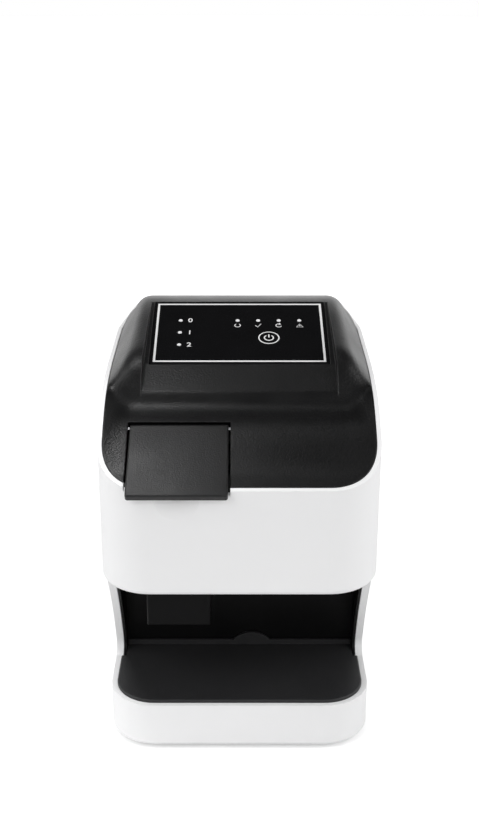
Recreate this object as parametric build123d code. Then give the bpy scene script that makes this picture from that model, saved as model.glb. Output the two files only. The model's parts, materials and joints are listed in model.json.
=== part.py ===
from build123d import *
from math import atan, cos, pi, radians, sin, sqrt, tan
import os

os.makedirs("parts", exist_ok=True)

# Phosphor plate scanner, in millimetres.
# +Z is up, the front faces -Y, and Z = 0 is the surface that the rubber feet stand on.
# The origin is at the bottom centre of the whole object.

# Driving sizes of the two housings
head_width = 156.0
head_depth = 236.0
head_bottom_z = 102.1
rim_front_z = 165.4
rim_back_z = 210.0
hump_height = 22.3
front_corner_radius = 29.0
taper_start = 160.0
taper_per_side = 10.0
taper_blend_radius = 70.0
back_corner_radius = 28.0
head_edge_round = 3.5
rim_thickness = 2.4
head_wall = 4.6
head_floor = 3.0
chassis_thickness = 1.5
dimple_radius = 12.2
dimple_depth = 2.4
dimple_z = 160.6
cable_pass = 30.0
lower_inset = 2.4
lower_wall = 3.6
base_bottom_z = 3.0
base_top_z = 30.0
base_edge_round = 2.0
bay_depth = 69.5
bay_side_low_setback = 63.0
bay_side_mid_setback = 50.2
bay_side_mid_z = 61.0
bay_side_top_setback = 24.0
bay_corner_round = 7.0
bay_wall_thickness = 4.4
bay_skin = 1.5

# Clearances
part_gap = 0.3
seat_gap = 0.1
running_gap = 0.05
moving_gap = 0.4
overrun = 2.0

# Light lid over the feed slot
lid_overhang = 4.0
lid_offset = 1.5
lid_width = 54.8
lid_thickness = 3.6
lid_barrel_radius = 2.3
lid_tilt = 28.5
lid_hinge_setback = 39.4
lid_hinge_height = 20.2
lid_side_gap = 1.2
lid_back_gap = 1.6
lid_rib_height = 1.6
lid_rib_thickness = 1.2
lid_rib_margin = 4.0
lid_edge_round = 0.8
lid_corner_round = 1.5
hinge_pin_radius = 0.9
hinge_pin_seat = 1.8
well_depth = 10.0

# Top cover and the control panel in its channel
cover_wall = 2.4
cover_skirt = 6.0
crease_round = 6.0
channel_half_width = 54.5
channel_flare = 1.9
channel_start_setback = 46.0
channel_start_rise = 24.5
channel_start_tilt = 17.0
channel_foot_setback = 57.0
channel_foot_rise = 29.8
channel_bend_setback = 62.5
channel_bend_rise = 35.0
panel_front_setback = 80.2
panel_front_rise = 44.9
panel_tilt = 17.9
panel_length = 65.6
panel_width = 105.2
panel_thickness = 1.5
panel_frame_margin = 2.0
panel_frame_width = 1.3
panel_frame_height = 0.25
panel_corner_round = 1.0
lens_radius = 1.25
lens_pitch = 12.8
lens_column_x = -35.9
lens_row_height = 12.1
lens_row_pitch = 12.55
lens_row_x = -1.15
lens_proud = 0.3
lens_rows = 3
lens_columns = 4
key_x = 17.6
key_drop = 6.7
key_radius = 6.6
key_travel = 0.6
key_flange = 1.1
key_flange_thickness = 0.8
key_stem_radius = 1.6
key_proud = 0.3
switch_height = 3.5
board_drop = 9.0
board_thickness = 1.6
board_screw_margin = 6.0
board_rear_margin = 26.0

# Plate path, from the feed slot down to the chute
path_setback = 30.0
path_inset = 43.0
nip_gap = 1.6
slot_width = 34.0
slot_mouth = 9.0
slot_throat = 4.8
slot_wall = 1.8
slot_bottom_z = 160.5
slot_flange = 1.0
slot_flange_margin = 2.2
slot_throat_length = 2.5
slot_rail = 1.2
slider_travel = 9.0
slider_thickness = 1.6
slider_length = 11.4
slider_depth = 14.0
slider_tongue = 2.0
slider_tongue_depth = 3.0
slider_ridge_radius = 1.0

# Transport: side plates, shafts, rollers, belts and gears
module_half_width = 25.0
side_plate_thickness = 1.5
side_plate_front = 10.0
side_plate_back = 52.0
side_plate_top_z = 160.5
side_plate_flange = 9.0
upper_shaft_z = 149.0
lower_shaft_z = 115.0
shaft_radius = 2.0
pulley_radius = 6.0
pulley_rim = 0.8
pulley_rim_thickness = 0.6
belt_gap = 0.15
belt_thickness = 1.2
belt_width = 5.6
belt_spacing = 9.0
pinch_radius = 5.0
pinch_sleeve_width = 6.4
bearing_radius = 4.0
bearing_flange = 1.2
bearing_flange_thickness = 0.8
gear_module = 1.0
gear_width = 5.0
pinion_teeth = 12
idler_teeth = 20
shaft_gear_teeth = 24
pressure_angle = 20.0
tooth_backlash = 0.16
gear_line_angle = -45.0
centre_slack = 0.06
addendum_share = 0.8
dedendum_share = 1.1
motor_radius = 11.5
motor_length = 26.0
gearbox_length = 9.0
motor_shaft_radius = 1.5
motor_bracket_reach = 35.0
motor_bracket_thickness = 2.0
tie_rod_radius = 1.5
tie_rod_inset = 2.6
sensor_reach = 11.25
sensor_base = 3.0
sensor_half = 4.0
sensor_height = 5.0
sensor_clear = 1.2

# Scanning optics on one upright axis behind the plate path
guide_radius = 52.0
guide_thickness = 2.0
guide_angle = 27.0
guide_height = 20.0
scan_slit_height = 3.0
scan_slit_angle = 18.0
laser_radius = 6.0
laser_lens_radius = 1.5
prism_motor_radius = 14.0
prism_motor_height = 7.0
prism_hub_radius = 7.5
prism_hub_height = 1.6
prism_size = 9.0
prism_height = 10.0
cut_share = 0.8
prism_shaft_radius = 2.5
prism_beam_radius = 1.0
prism_shaft_length = 4.0
bracket_sheet = 2.0
collector_wide_radius = 23.0
collector_narrow_radius = 12.5
collector_height = 16.0
collector_wall = 1.4
collector_gap = 3.5
filter_thickness = 2.5
tube_radius = 13.0
tube_length = 24.0
tube_socket_height = 6.0
tube_pins = 8
chassis_margin = 9.4
chassis_reach = 40.0
signal_board_gap = 8.0
signal_board_margin = 11.4
signal_board_depth = 56.0
signal_post_height = 8.0

# Chute, erasing lamps and tray in the bay
chute_width = 36.8
chute_depth = 17.0
chute_bottom_z = 69.0
chute_wall = 1.6
chute_passage = 6.0
chute_flange = 3.0
chute_edge_round = 1.5
lamp_rows = 4
lamp_columns = 3
lamp_size = 3.0
lamp_height = 1.0
heat_sink_base = 1.5
heat_sink_fin = 1.6
heat_sink_fins = 6
tray_thickness = 2.0
tray_inset = 3.4
tray_front_inset = 2.6
tray_edge_round = 0.9
tray_lip_height = 3.0
tray_lip_thickness = 2.0
tray_grip_width = 24.0
tray_grip_x = 7.5
tray_grip_rise = 6.6
tray_back_gap = 0.5
tray_side_gap = 0.4
tray_corner_gap = 4.0

# Rear compartment and the underside
bottom_plate_thickness = 2.0
foot_radius = 8.0
foot_inset_x = 22.0
foot_inset_y = 30.0
foot_recess = 1.0
rear_cover_width = 82.0
rear_cover_height = 66.0
rear_cover_thickness = 2.0
rear_cover_ledge = 3.5
rear_cover_centre_z = 54.6
rear_cover_corner = 4.0
vent_count = 7
vent_width = 2.4
vent_length = 46.0
vent_pitch = 5.2
board_width = 66.0
board_depth = 116.0
board_z = 24.0
post_radius = 3.0
socket_back_gap = 0.4
network_size = (16.0, 21.0, 13.5)
network_hole = (11.8, 12.0, 7.6)
latch_depth = 1.6
usb_size = (12.0, 16.0, 11.0)
usb_hole = (8.6, 9.0, 7.8)
usb_tongue = (5.6, 7.0, 3.2)
power_size = (9.0, 14.0, 11.0)
power_hole_radius = 3.1
power_hole_depth = 9.0
power_pin_radius = 1.0
socket_spacing = 24.0
socket_edge_gap = 0.4
screw_radius = 1.5
screw_head_radius = 2.8
screw_head_height = 1.6
screw_length = 8.0
boss_radius = 4.0
boss_bite = 0.8
boss_front_setback = 16.0
boss_middle_setback = 84.0
boss_rear_setback = 150.0
chip_height = 1.6

# Places that follow from the sizes above
front_y = -(head_depth - lid_overhang) / 2
back_y = front_y + head_depth
half_width = head_width / 2
rim_rise = rim_back_z - rim_front_z
cover_inset = rim_thickness + part_gap
lower_half_width = half_width - lower_inset
path_x = path_inset - half_width
lid_centre_x = path_x + lid_offset
path_y = front_y + path_setback
bay_back_y = front_y + bay_depth
bay_half_width = lower_half_width - bay_wall_thickness
floor_top_z = head_bottom_z + head_floor

# Stations along the top, front to back, as shares of the head's depth, of the rim's rise,
# of the half width at the crease and of the hump's height over the rim.
top_line_shares = [
    (-0.030, -0.050, 0.84, 0.00),
    (0.000, 0.000, 0.84, 0.00),
    (0.050, 0.117, 0.84, 0.00),
    (0.103, 0.310, 0.84, -0.03),
    (0.190, 0.650, 0.84, -0.21),
    (0.242, 0.780, 0.84, -0.22),
    (0.268, 0.820, 0.84, 0.06),
    (0.297, 0.853, 0.83, 0.36),
    (0.326, 0.879, 0.82, 0.52),
    (0.381, 0.913, 0.81, 0.63),
    (0.479, 0.939, 0.80, 0.80),
    (0.593, 0.962, 0.795, 0.98),
    (0.650, 0.971, 0.79, 0.99),
    (0.800, 0.986, 0.75, 0.51),
    (0.910, 0.995, 0.62, 0.16),
    (1.000, 1.000, 0.50, 0.00),
    (1.030, 1.002, 0.50, 0.00),
]


def save(name, shape):
    """Write one piece, or one group of like pieces, to its own file."""
    solids = list(shape.solids())
    piece = solids[0] if len(solids) == 1 else Compound(children=solids)
    piece.label = name
    export_step(piece, "parts/" + name + ".step")


def block(low, high):
    """Upright box between two corners."""
    size = [top - bottom for bottom, top in zip(low, high)]
    return Pos(*low) * Box(*size, align=(Align.MIN, Align.MIN, Align.MIN))


def rod_x(radius, x_low, x_high, y, z):
    """Round bar along X."""
    bar = Cylinder(radius, x_high - x_low, align=(Align.CENTER, Align.CENTER, Align.MIN))
    return Pos(x_low, y, z) * Rot(0, 90, 0) * bar


def rod_y(radius, y_low, y_high, x, z):
    """Round bar along Y."""
    bar = Cylinder(radius, y_high - y_low, align=(Align.CENTER, Align.CENTER, Align.MIN))
    return Pos(x, y_low, z) * Rot(-90, 0, 0) * bar


def rod_z(radius, z_low, z_high, x, y):
    """Round bar along Z."""
    bar = Cylinder(radius, z_high - z_low, align=(Align.CENTER, Align.CENTER, Align.MIN))
    return Pos(x, y, z_low) * bar


def tube_z(outer, inner, z_low, z_high, x, y):
    """Round upright tube."""
    return rod_z(outer, z_low, z_high, x, y) - rod_z(inner, z_low - overrun, z_high + overrun, x, y)


def head_plan(inset):
    """Plan of the head, drawn in by the inset: round front corners and a tapered rear."""
    side = half_width
    taper_y = front_y + taper_start
    rear_side = half_width - taper_per_side
    outline = Polyline(
        (-side, front_y),
        (side, front_y),
        (side, taper_y),
        (rear_side, back_y),
        (-rear_side, back_y),
        (-side, taper_y),
        close=True,
    )
    plan = make_face(outline)
    ordered = plan.vertices().sort_by(Axis.Y)
    plan = fillet(ordered[:2], front_corner_radius)
    ordered = plan.vertices().sort_by(Axis.Y)
    plan = fillet(ordered[-2:], back_corner_radius)
    bends = [point for point in plan.vertices() if abs(point.Y - taper_y) < overrun]
    plan = fillet(bends, taper_blend_radius)
    if inset:
        plan = offset(plan, amount=-inset)
    return plan


def plan_block(inset, low_z, high_z):
    """Upright block with the head's plan."""
    return extrude(Pos(0, 0, low_z) * head_plan(inset), high_z - low_z)


def across(face, reach=head_width):
    """A side view outline drawn out across the whole width."""
    return extrude(Plane.YZ * face, reach, both=True)


def below_rim(drop):
    """Everything under the rim's side line, lowered by the drop."""
    points = [
        (front_y + depth_share * head_depth, rim_front_z + rise_share * rim_rise - drop)
        for depth_share, rise_share, crease_share, hump_share in top_line_shares
    ]
    curve = Spline(*points)
    low = -overrun
    walls = Polyline(points[-1], (points[-1][0], low), (points[0][0], low), points[0])
    return across(make_face([curve, walls]))


def top_form(drop, width_inset):
    """The cover's upper form: a bowl at the front that rises into the rear hump."""
    sections = []
    edge_x = half_width - cover_inset - width_inset
    for depth_share, rise_share, crease_share, hump_share in top_line_shares:
        y = front_y + depth_share * head_depth
        rim_z = rim_front_z + rise_share * rim_rise - drop
        crease_x = half_width * crease_share - width_inset
        crease_z = rim_z + hump_share * hump_height
        slope = (rim_z - crease_z) / (edge_x - crease_x)
        wide_x = edge_x + overrun
        wide_z = rim_z + slope * overrun
        run = sqrt((edge_x - crease_x) ** 2 + (rim_z - crease_z) ** 2)
        step_x = crease_round * (edge_x - crease_x) / run
        step_z = crease_round * (rim_z - crease_z) / run
        low_z = rim_front_z - cover_skirt - well_depth - drop - overrun
        flat_x = crease_x - crease_round
        bend = (crease_x + step_x, crease_z + step_z)
        left_bend = (-crease_x - step_x, crease_z + step_z)
        right = [
            Line((wide_x, low_z), (wide_x, wide_z)),
            Line((wide_x, wide_z), bend),
            Bezier(bend, (crease_x, crease_z), (flat_x, crease_z)),
        ]
        top = Line((flat_x, crease_z), (-flat_x, crease_z))
        left = [
            Bezier((-flat_x, crease_z), (-crease_x, crease_z), left_bend),
            Line(left_bend, (-wide_x, wide_z)),
            Line((-wide_x, wide_z), (-wide_x, low_z)),
        ]
        base = Line((-wide_x, low_z), (wide_x, low_z))
        station = Plane(origin=(0, y, 0), x_dir=(1, 0, 0), z_dir=(0, -1, 0))
        sections.append(station * make_face([*right, top, *left, base]))
    return loft(sections)


def above_rim(drop):
    """Everything over the rim's side line, lowered by the drop."""
    low = (-head_width, front_y - head_depth, rim_front_z - head_width)
    high = (head_width, back_y + head_depth, rim_back_z + head_width)
    return block(low, high) - below_rim(drop)


# The lid's plane: its origin is on the hinge line, Y runs up the slope, Z out of the lid
hinge_y = front_y + lid_hinge_setback
hinge_z = rim_front_z + lid_hinge_height
lid_plane = Plane(
    origin=(lid_centre_x, hinge_y, hinge_z),
    x_dir=(1, 0, 0),
    z_dir=(0, -sin(radians(lid_tilt)), cos(radians(lid_tilt))),
)
lid_round_loss = lid_edge_round * (sin(radians(lid_tilt)) + cos(radians(lid_tilt)) - 1)
lid_reach = lid_hinge_setback + lid_overhang + lid_round_loss - lid_barrel_radius * sin(radians(lid_tilt))
lid_length = lid_reach / cos(radians(lid_tilt))
lid_under = lid_barrel_radius - lid_thickness
well_floor = lid_barrel_radius - well_depth
well_half_width = lid_width / 2 + lid_side_gap

# The panel's plane: its origin is at the panel's front edge, Y runs up the slope, Z out of the panel
panel_plane = Plane(
    origin=(0, front_y + panel_front_setback, rim_front_z + panel_front_rise),
    x_dir=(1, 0, 0),
    z_dir=(0, -sin(radians(panel_tilt)), cos(radians(panel_tilt))),
)
panel_middle = panel_length / 2
lens_high = panel_middle + lens_row_height
lens_places = [(lens_column_x, lens_high - row * lens_pitch) for row in range(lens_rows)]
lens_places += [(lens_row_x + column * lens_row_pitch, lens_high) for column in range(lens_columns)]
key_place = (key_x, panel_middle - key_drop)


def well_block(grow):
    """The space under the lid, grown on every side for the walls round it."""
    low = (-well_half_width - grow, -lid_length, well_floor - grow)
    high = (well_half_width + grow, lid_barrel_radius + lid_back_gap + grow, lid_length)
    inside = plan_block(cover_inset + cover_wall - grow, 0, rim_back_z + lid_length)
    return (lid_plane * block(low, high)) & inside


def lid_clearance():
    """Shallow notch under the lid where it lies across the cover's front edge."""
    low = (-well_half_width, -lid_length, lid_under - part_gap)
    high = (well_half_width, 0, lid_length)
    return lid_plane * block(low, high)


def channel_block(grow):
    """The panel's channel between the shoulders, open at its front and top."""
    start = (front_y + channel_start_setback, rim_front_z + channel_start_rise)
    foot = (front_y + channel_foot_setback, rim_front_z + channel_foot_rise)
    bend = (front_y + channel_bend_setback, rim_front_z + channel_bend_rise)
    panel_front = (front_y + panel_front_setback, rim_front_z + panel_front_rise)
    reach = panel_length + hump_height
    rear = (
        panel_front[0] + reach * cos(radians(panel_tilt)),
        panel_front[1] + reach * sin(radians(panel_tilt)),
    )
    top = rim_back_z + head_width
    slope = (panel_front[0] - bend[0], panel_front[1] - bend[1])
    bowl = (cos(radians(channel_start_tilt)), sin(radians(channel_start_tilt)))
    hollow = Spline(start, foot, bend, tangents=[bowl, slope])
    walls = Polyline(bend, panel_front, rear, (rear[0], top), (start[0], top), start)
    side = make_face([hollow, walls])
    lowered = Pos(0, -grow / cos(radians(panel_tilt)), 0) * side
    wide = channel_half_width + channel_flare + grow
    narrow = channel_half_width + grow
    plan = Polyline((-wide, start[0]), (wide, start[0]), (narrow, rear[0]), (-narrow, rear[0]), close=True)
    return across(lowered) & extrude(make_face(plan), top)


def make_top_cover():
    """Black cover: shoulders, sunk channel, well for the lid, and a skirt inside the rim."""
    high_z = rim_back_z + head_width
    outer = top_form(0, 0) & plan_block(cover_inset, 0, high_z)
    inner = top_form(cover_wall, cover_wall) & plan_block(cover_inset + cover_wall, 0, high_z)
    inner -= channel_block(cover_wall + panel_thickness)
    inner -= well_block(cover_wall)
    edge = plan_block(cover_inset, 0, high_z) - plan_block(cover_inset + cover_wall, 0, high_z)
    edge &= below_rim(cover_skirt)
    edge -= well_block(cover_wall)
    cover = outer - channel_block(0) - inner - edge - well_block(0) - lid_clearance()
    pocket_low = (-panel_width / 2 - part_gap, -part_gap, -panel_thickness - seat_gap)
    pocket_high = (panel_width / 2 + part_gap, panel_length + part_gap, hump_height)
    cover -= panel_plane * block(pocket_low, pocket_high)
    for x, y in lens_places:
        cover -= panel_plane * rod_z(lens_radius + part_gap, -board_drop, 0, x, y)
    cover -= panel_plane * rod_z(key_radius + key_flange + moving_gap, -board_drop, 0, *key_place)
    posts = []
    for x, y in board_screw_places():
        post = rod_z(post_radius, -board_drop, -panel_thickness - cover_wall / 2, x, y)
        posts.append(panel_plane * (post - rod_z(screw_radius, -board_drop - overrun, -board_drop / 2, x, y)))
    for post in posts:
        cover += post
    pin_reach = well_half_width + hinge_pin_seat + seat_gap
    pin_low = lid_centre_x - pin_reach
    pin_high = lid_centre_x + pin_reach
    cover -= rod_x(hinge_pin_radius + running_gap, pin_low, pin_high, hinge_y, hinge_z)
    cover -= slot_body(part_gap, rim_back_z)
    return cover


def board_screw_places():
    """Screw places of the control board, in the panel's plane."""
    x = panel_width / 2 - board_screw_margin
    low = board_screw_margin
    high = panel_length - board_screw_margin
    return [(-x, low), (x, low), (-x, high), (x, high)]


def make_light_lid():
    """Flap over the feed slot: a plate with a barrel for its pin and a light seal below."""
    plate = block((-lid_width / 2, -lid_length, lid_under), (lid_width / 2, 0, lid_barrel_radius))
    plate = fillet(plate.edges().filter_by(Axis.Z).sort_by(Axis.Y)[:2], lid_corner_round)
    barrel = rod_x(lid_barrel_radius, -lid_width / 2, lid_width / 2, 0, 0)
    lid = plate + barrel
    front_edges = lid.faces().sort_by(Axis.Z)[-1].edges().sort_by(Axis.Y)[:3]
    lid = fillet(front_edges, lid_edge_round)
    tilt_run = cos(radians(lid_tilt))
    rib_front = -(lid_hinge_setback - cover_inset - cover_wall - lid_rib_margin) / tilt_run
    rib_x = lid_width / 2 - lid_rib_margin
    rib_back = -lid_rib_margin
    rib_low = lid_under - lid_rib_height
    frame = block((-rib_x, rib_front, rib_low), (rib_x, rib_back, lid_under))
    inset = lid_rib_thickness
    frame -= block(
        (-rib_x + inset, rib_front + inset, rib_low - overrun),
        (rib_x - inset, rib_back - inset, lid_under + overrun),
    )
    lid += frame
    lid -= rod_x(hinge_pin_radius + running_gap, -lid_width, lid_width, 0, 0)
    return lid_plane * lid


def make_hinge_pin():
    """Steel pin of the lid, let into the well's side walls."""
    reach = well_half_width + hinge_pin_seat
    return rod_x(hinge_pin_radius, lid_centre_x - reach, lid_centre_x + reach, hinge_y, hinge_z)


def slot_body(grow, top_z):
    """Upright body of the feed slot below the well's floor."""
    half_x = slot_width / 2 + slot_wall + grow
    half_y = slot_mouth / 2 + slot_wall + grow
    low = (path_x - half_x, path_y - half_y, slot_bottom_z)
    return block(low, (path_x + half_x, path_y + half_y, top_z))


def path_floor_z():
    """Height of the well's floor over the plate path."""
    tilt = radians(lid_tilt)
    return hinge_z + (path_y - hinge_y) * tan(tilt) + well_floor / cos(tilt)


def make_feed_slot():
    """Slot insert: a flange on the well's floor, a funnel for the plate and the slider's rails."""
    flange_top = well_floor + slot_flange
    slab_low = (-well_half_width, -lid_length, well_floor)
    slab = lid_plane * block(slab_low, (well_half_width, lid_barrel_radius, flange_top))
    half_x = slot_width / 2 + slot_wall + slot_flange_margin
    half_y = slot_mouth / 2 + slot_wall + slot_flange_margin
    right_x = lid_centre_x + well_half_width - part_gap
    flange = block((path_x - half_x, path_y - half_y, 0), (right_x, path_y + half_y, rim_back_z))
    flange &= slab
    far = head_width
    low_side = lid_plane * block((-far, -far, -far), (far, far, well_floor))
    insert = (slot_body(0, rim_back_z) & low_side) + flange
    rail_front, rail_back = slider_edges()
    rail_low = flange_top
    rail_high = flange_top + slider_thickness + moving_gap + slot_rail
    rail_left = right_x - lid_centre_x - slider_length - slider_travel - moving_gap
    rail_right = right_x - lid_centre_x
    for edge, outward in ((rail_front, -1), (rail_back, 1)):
        inner = edge + outward * moving_gap
        outer = inner + outward * slot_rail
        lip = edge - outward * slot_rail / 2
        ys = sorted((inner, outer))
        wall_low = (rail_left, ys[0], rail_low - slot_flange / 2)
        insert += lid_plane * block(wall_low, (rail_right, ys[1], rail_high))
        ys = sorted((lip, outer))
        lip_low = rail_high - slot_rail + seat_gap
        insert += lid_plane * block((rail_left, ys[0], lip_low), (rail_right, ys[1], rail_high))
    floor_z = path_floor_z()
    mouth_top = floor_z + slot_mouth
    throat_top = slot_bottom_z + slot_throat_length
    widen = (slot_mouth - slot_throat) / 2 / (floor_z - throat_top)
    mouth_width = slot_throat + 2 * widen * (mouth_top - throat_top)
    low_face = Pos(path_x, path_y, throat_top) * Rectangle(slot_width, slot_throat)
    high_face = Pos(path_x, path_y, mouth_top) * Rectangle(slot_width, mouth_width)
    insert -= loft([low_face, high_face])
    half_x = slot_width / 2
    half_y = slot_throat / 2
    insert -= block(
        (path_x - half_x, path_y - half_y, slot_bottom_z - overrun),
        (path_x + half_x, path_y + half_y, throat_top + overrun / 2),
    )
    tongue_low, tongue_high = tongue_box()
    grow = moving_gap
    insert -= block(
        (tongue_low[0] - grow, tongue_low[1] - grow, tongue_low[2] - grow),
        (tongue_high[0] + grow, tongue_high[1] + grow, mouth_top),
    )
    return insert


def slider_edges():
    """Front and back edge of the slider, in the lid's plane."""
    tilt = radians(lid_tilt)
    middle = (path_y - hinge_y + (well_floor + slot_flange) * sin(tilt)) / cos(tilt)
    return middle - slider_depth / 2, middle + slider_depth / 2


def tongue_box():
    """Corners of the slider's tongue, which hangs in the slot's mouth."""
    left = path_x + slot_width / 2 + seat_gap
    half_y = slot_throat / 2
    low_z = path_floor_z() - slider_tongue_depth
    high_z = path_floor_z() + (slot_flange + slider_thickness / 2) / cos(radians(lid_tilt))
    return (left, path_y - half_y, low_z), (left + slider_tongue, path_y + half_y, high_z)


def make_size_slider():
    """Guide that narrows the slot to the plate's size: a plate, a tongue and a thumb piece."""
    front, back = slider_edges()
    left = path_x + slot_width / 2 + seat_gap - lid_centre_x
    right = left + slider_length
    low = well_floor + slot_flange + seat_gap
    plate = block((left, front, low), (right, back, low + slider_thickness))
    middle_x = (left + right) / 2
    ridge = slider_length / 4
    for step in (-1, 0, 1):
        grip_x = middle_x + step * ridge
        grip_z = low + slider_thickness
        grip_end = slider_depth / 4
        plate += rod_y(slider_ridge_radius, front + grip_end, back - grip_end, grip_x, grip_z)
    return lid_plane * plate + block(*tongue_box())


def make_control_panel():
    """Glossy plate with holes for the lenses and the key."""
    plate = block((-panel_width / 2, 0, -panel_thickness), (panel_width / 2, panel_length, 0))
    plate = fillet(plate.edges().filter_by(Axis.Z), panel_corner_round)
    for x, y in lens_places:
        plate -= rod_z(lens_radius + seat_gap, -panel_thickness - overrun, overrun, x, y)
    plate -= rod_z(key_radius + part_gap, -panel_thickness - overrun, overrun, *key_place)
    groove = frame_ring(panel_frame_height + seat_gap, seat_gap / 2)
    return panel_plane * (plate - Pos(0, 0, -panel_frame_height) * groove)


def frame_ring(height, grow):
    """Flat frame line near the panel's edge."""
    outer_x = panel_width / 2 - panel_frame_margin + grow
    outer_low = panel_frame_margin - grow
    outer_high = panel_length - panel_frame_margin + grow
    line = panel_frame_width + 2 * grow
    ring = block((-outer_x, outer_low, 0), (outer_x, outer_high, height))
    ring -= block(
        (line - outer_x, outer_low + line, -overrun),
        (outer_x - line, outer_high - line, height + overrun),
    )
    return ring


def make_panel_frame():
    """Pale inlay line of the panel, level with its face."""
    return panel_plane * (Pos(0, 0, -panel_frame_height) * frame_ring(panel_frame_height, 0))


def make_status_lenses():
    """Light pipes from the board's lamps to the panel's face."""
    group = []
    for x, y in lens_places:
        low = -board_drop + lamp_height + part_gap
        pipe = rod_z(lens_radius, low, lens_proud, x, y)
        group.append(panel_plane * fillet(pipe.edges().sort_by(Axis.Z)[-1], lens_proud))
    return Compound(children=group)


def make_power_key():
    """Round key: cap through the panel, flange below it and a stem to its switch."""
    cap = rod_z(key_radius, -panel_thickness - seat_gap, key_proud, *key_place)
    cap = fillet(cap.edges().sort_by(Axis.Z)[-1], key_proud)
    flange_top = -panel_thickness - seat_gap
    flange = rod_z(key_radius + key_flange, flange_top - key_flange_thickness, flange_top, *key_place)
    stem_low = -board_drop + switch_height + key_travel + part_gap
    stem = rod_z(key_stem_radius, stem_low, flange_top, *key_place)
    return panel_plane * (cap + flange + stem)


def pad(x, y, low_z, size, height):
    """Square block that stands on a board."""
    half = size / 2
    return block((x - half, y - half, low_z), (x + half, y + half, low_z + height))


def make_control_board():
    """Small board under the panel, with lamps under the lenses and the key's switch."""
    top = -board_drop
    board = block(
        (-panel_width / 2 + part_gap, part_gap, top - board_thickness),
        (panel_width / 2 - part_gap, panel_length - part_gap, top),
    )
    for x, y in board_screw_places():
        board -= rod_z(screw_radius + running_gap, top - board_thickness - overrun, top + overrun, x, y)
    for x, y in lens_places:
        board += pad(x, y, top, lamp_size, lamp_height)
    board += pad(*key_place, top, 2 * key_radius, switch_height)
    return panel_plane * board


def housing_screw_places():
    """Places of the base's and the head's screws: front pair, middle pair, rear pair."""
    side = lower_half_width - lower_wall - boss_radius + boss_bite
    front_x = side - front_corner_radius / 2
    middle_y = front_y + boss_middle_setback
    rear_y = front_y + boss_rear_setback
    front = [(-front_x, front_y + boss_front_setback), (front_x, front_y + boss_front_setback)]
    rest = [(-side, middle_y), (side, middle_y), (-side, rear_y), (side, rear_y)]
    return front, rest


def make_head_shell():
    """White head: an open shell with a rim, a ledge for the cover's skirt and a floor."""
    high_z = rim_back_z + head_width
    outer = plan_block(0, head_bottom_z, high_z)
    outer = fillet(outer.faces().sort_by(Axis.Z)[0].edges(), head_edge_round)
    shell = outer & below_rim(0)
    shell -= plan_block(head_wall, floor_top_z, high_z)
    shell -= plan_block(rim_thickness, 0, high_z) & above_rim(cover_skirt + seat_gap)
    shell -= well_block(cover_wall + part_gap)
    shell -= lid_clearance()
    radius = (dimple_radius**2 + dimple_depth**2) / (2 * dimple_depth)
    shell -= Pos(lid_centre_x, front_y + dimple_depth - radius, dimple_z) * Sphere(radius)
    shell -= chute_hole(part_gap)
    low_y = bay_back_y + lower_wall + boss_radius * 2
    shell -= block((-cable_pass / 2, low_y, 0), (cable_pass / 2, low_y + cable_pass, floor_top_z + overrun))
    for x, y in housing_screw_places()[1]:
        shell -= rod_z(screw_radius + running_gap, 0, floor_top_z + overrun, x, y)
    return shell


def chute_hole(grow):
    """Way through the head's floor for the chute."""
    front = chute_front()
    return block(
        (path_x - chute_width / 2 - grow, front - grow, head_bottom_z - overrun),
        (path_x + chute_width / 2 + grow, front + chute_depth + grow, floor_top_z + overrun),
    )


def chute_front():
    """Front face of the chute, in front of the plate path."""
    return path_y - chute_passage / 2 - chute_wall


def side_opening():
    """The open region in front of the bay's side walls, seen from the side."""
    low = (front_y + bay_side_low_setback, base_top_z)
    middle = (front_y + bay_side_mid_setback, bay_side_mid_z)
    high = (front_y + bay_side_top_setback, head_bottom_z)
    outer = front_y - head_edge_round - lid_overhang
    wall = ThreePointArc(low, middle, high)
    top = head_bottom_z + overrun
    rest = Polyline(high, (high[0], top), (outer, top), (outer, base_top_z), low)
    side = make_face([wall, rest])
    corner = side.vertices().sort_by(lambda point: abs(point.X - low[0]) + abs(point.Y - low[1]))[0]
    return across(fillet(corner, bay_corner_round))


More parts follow.
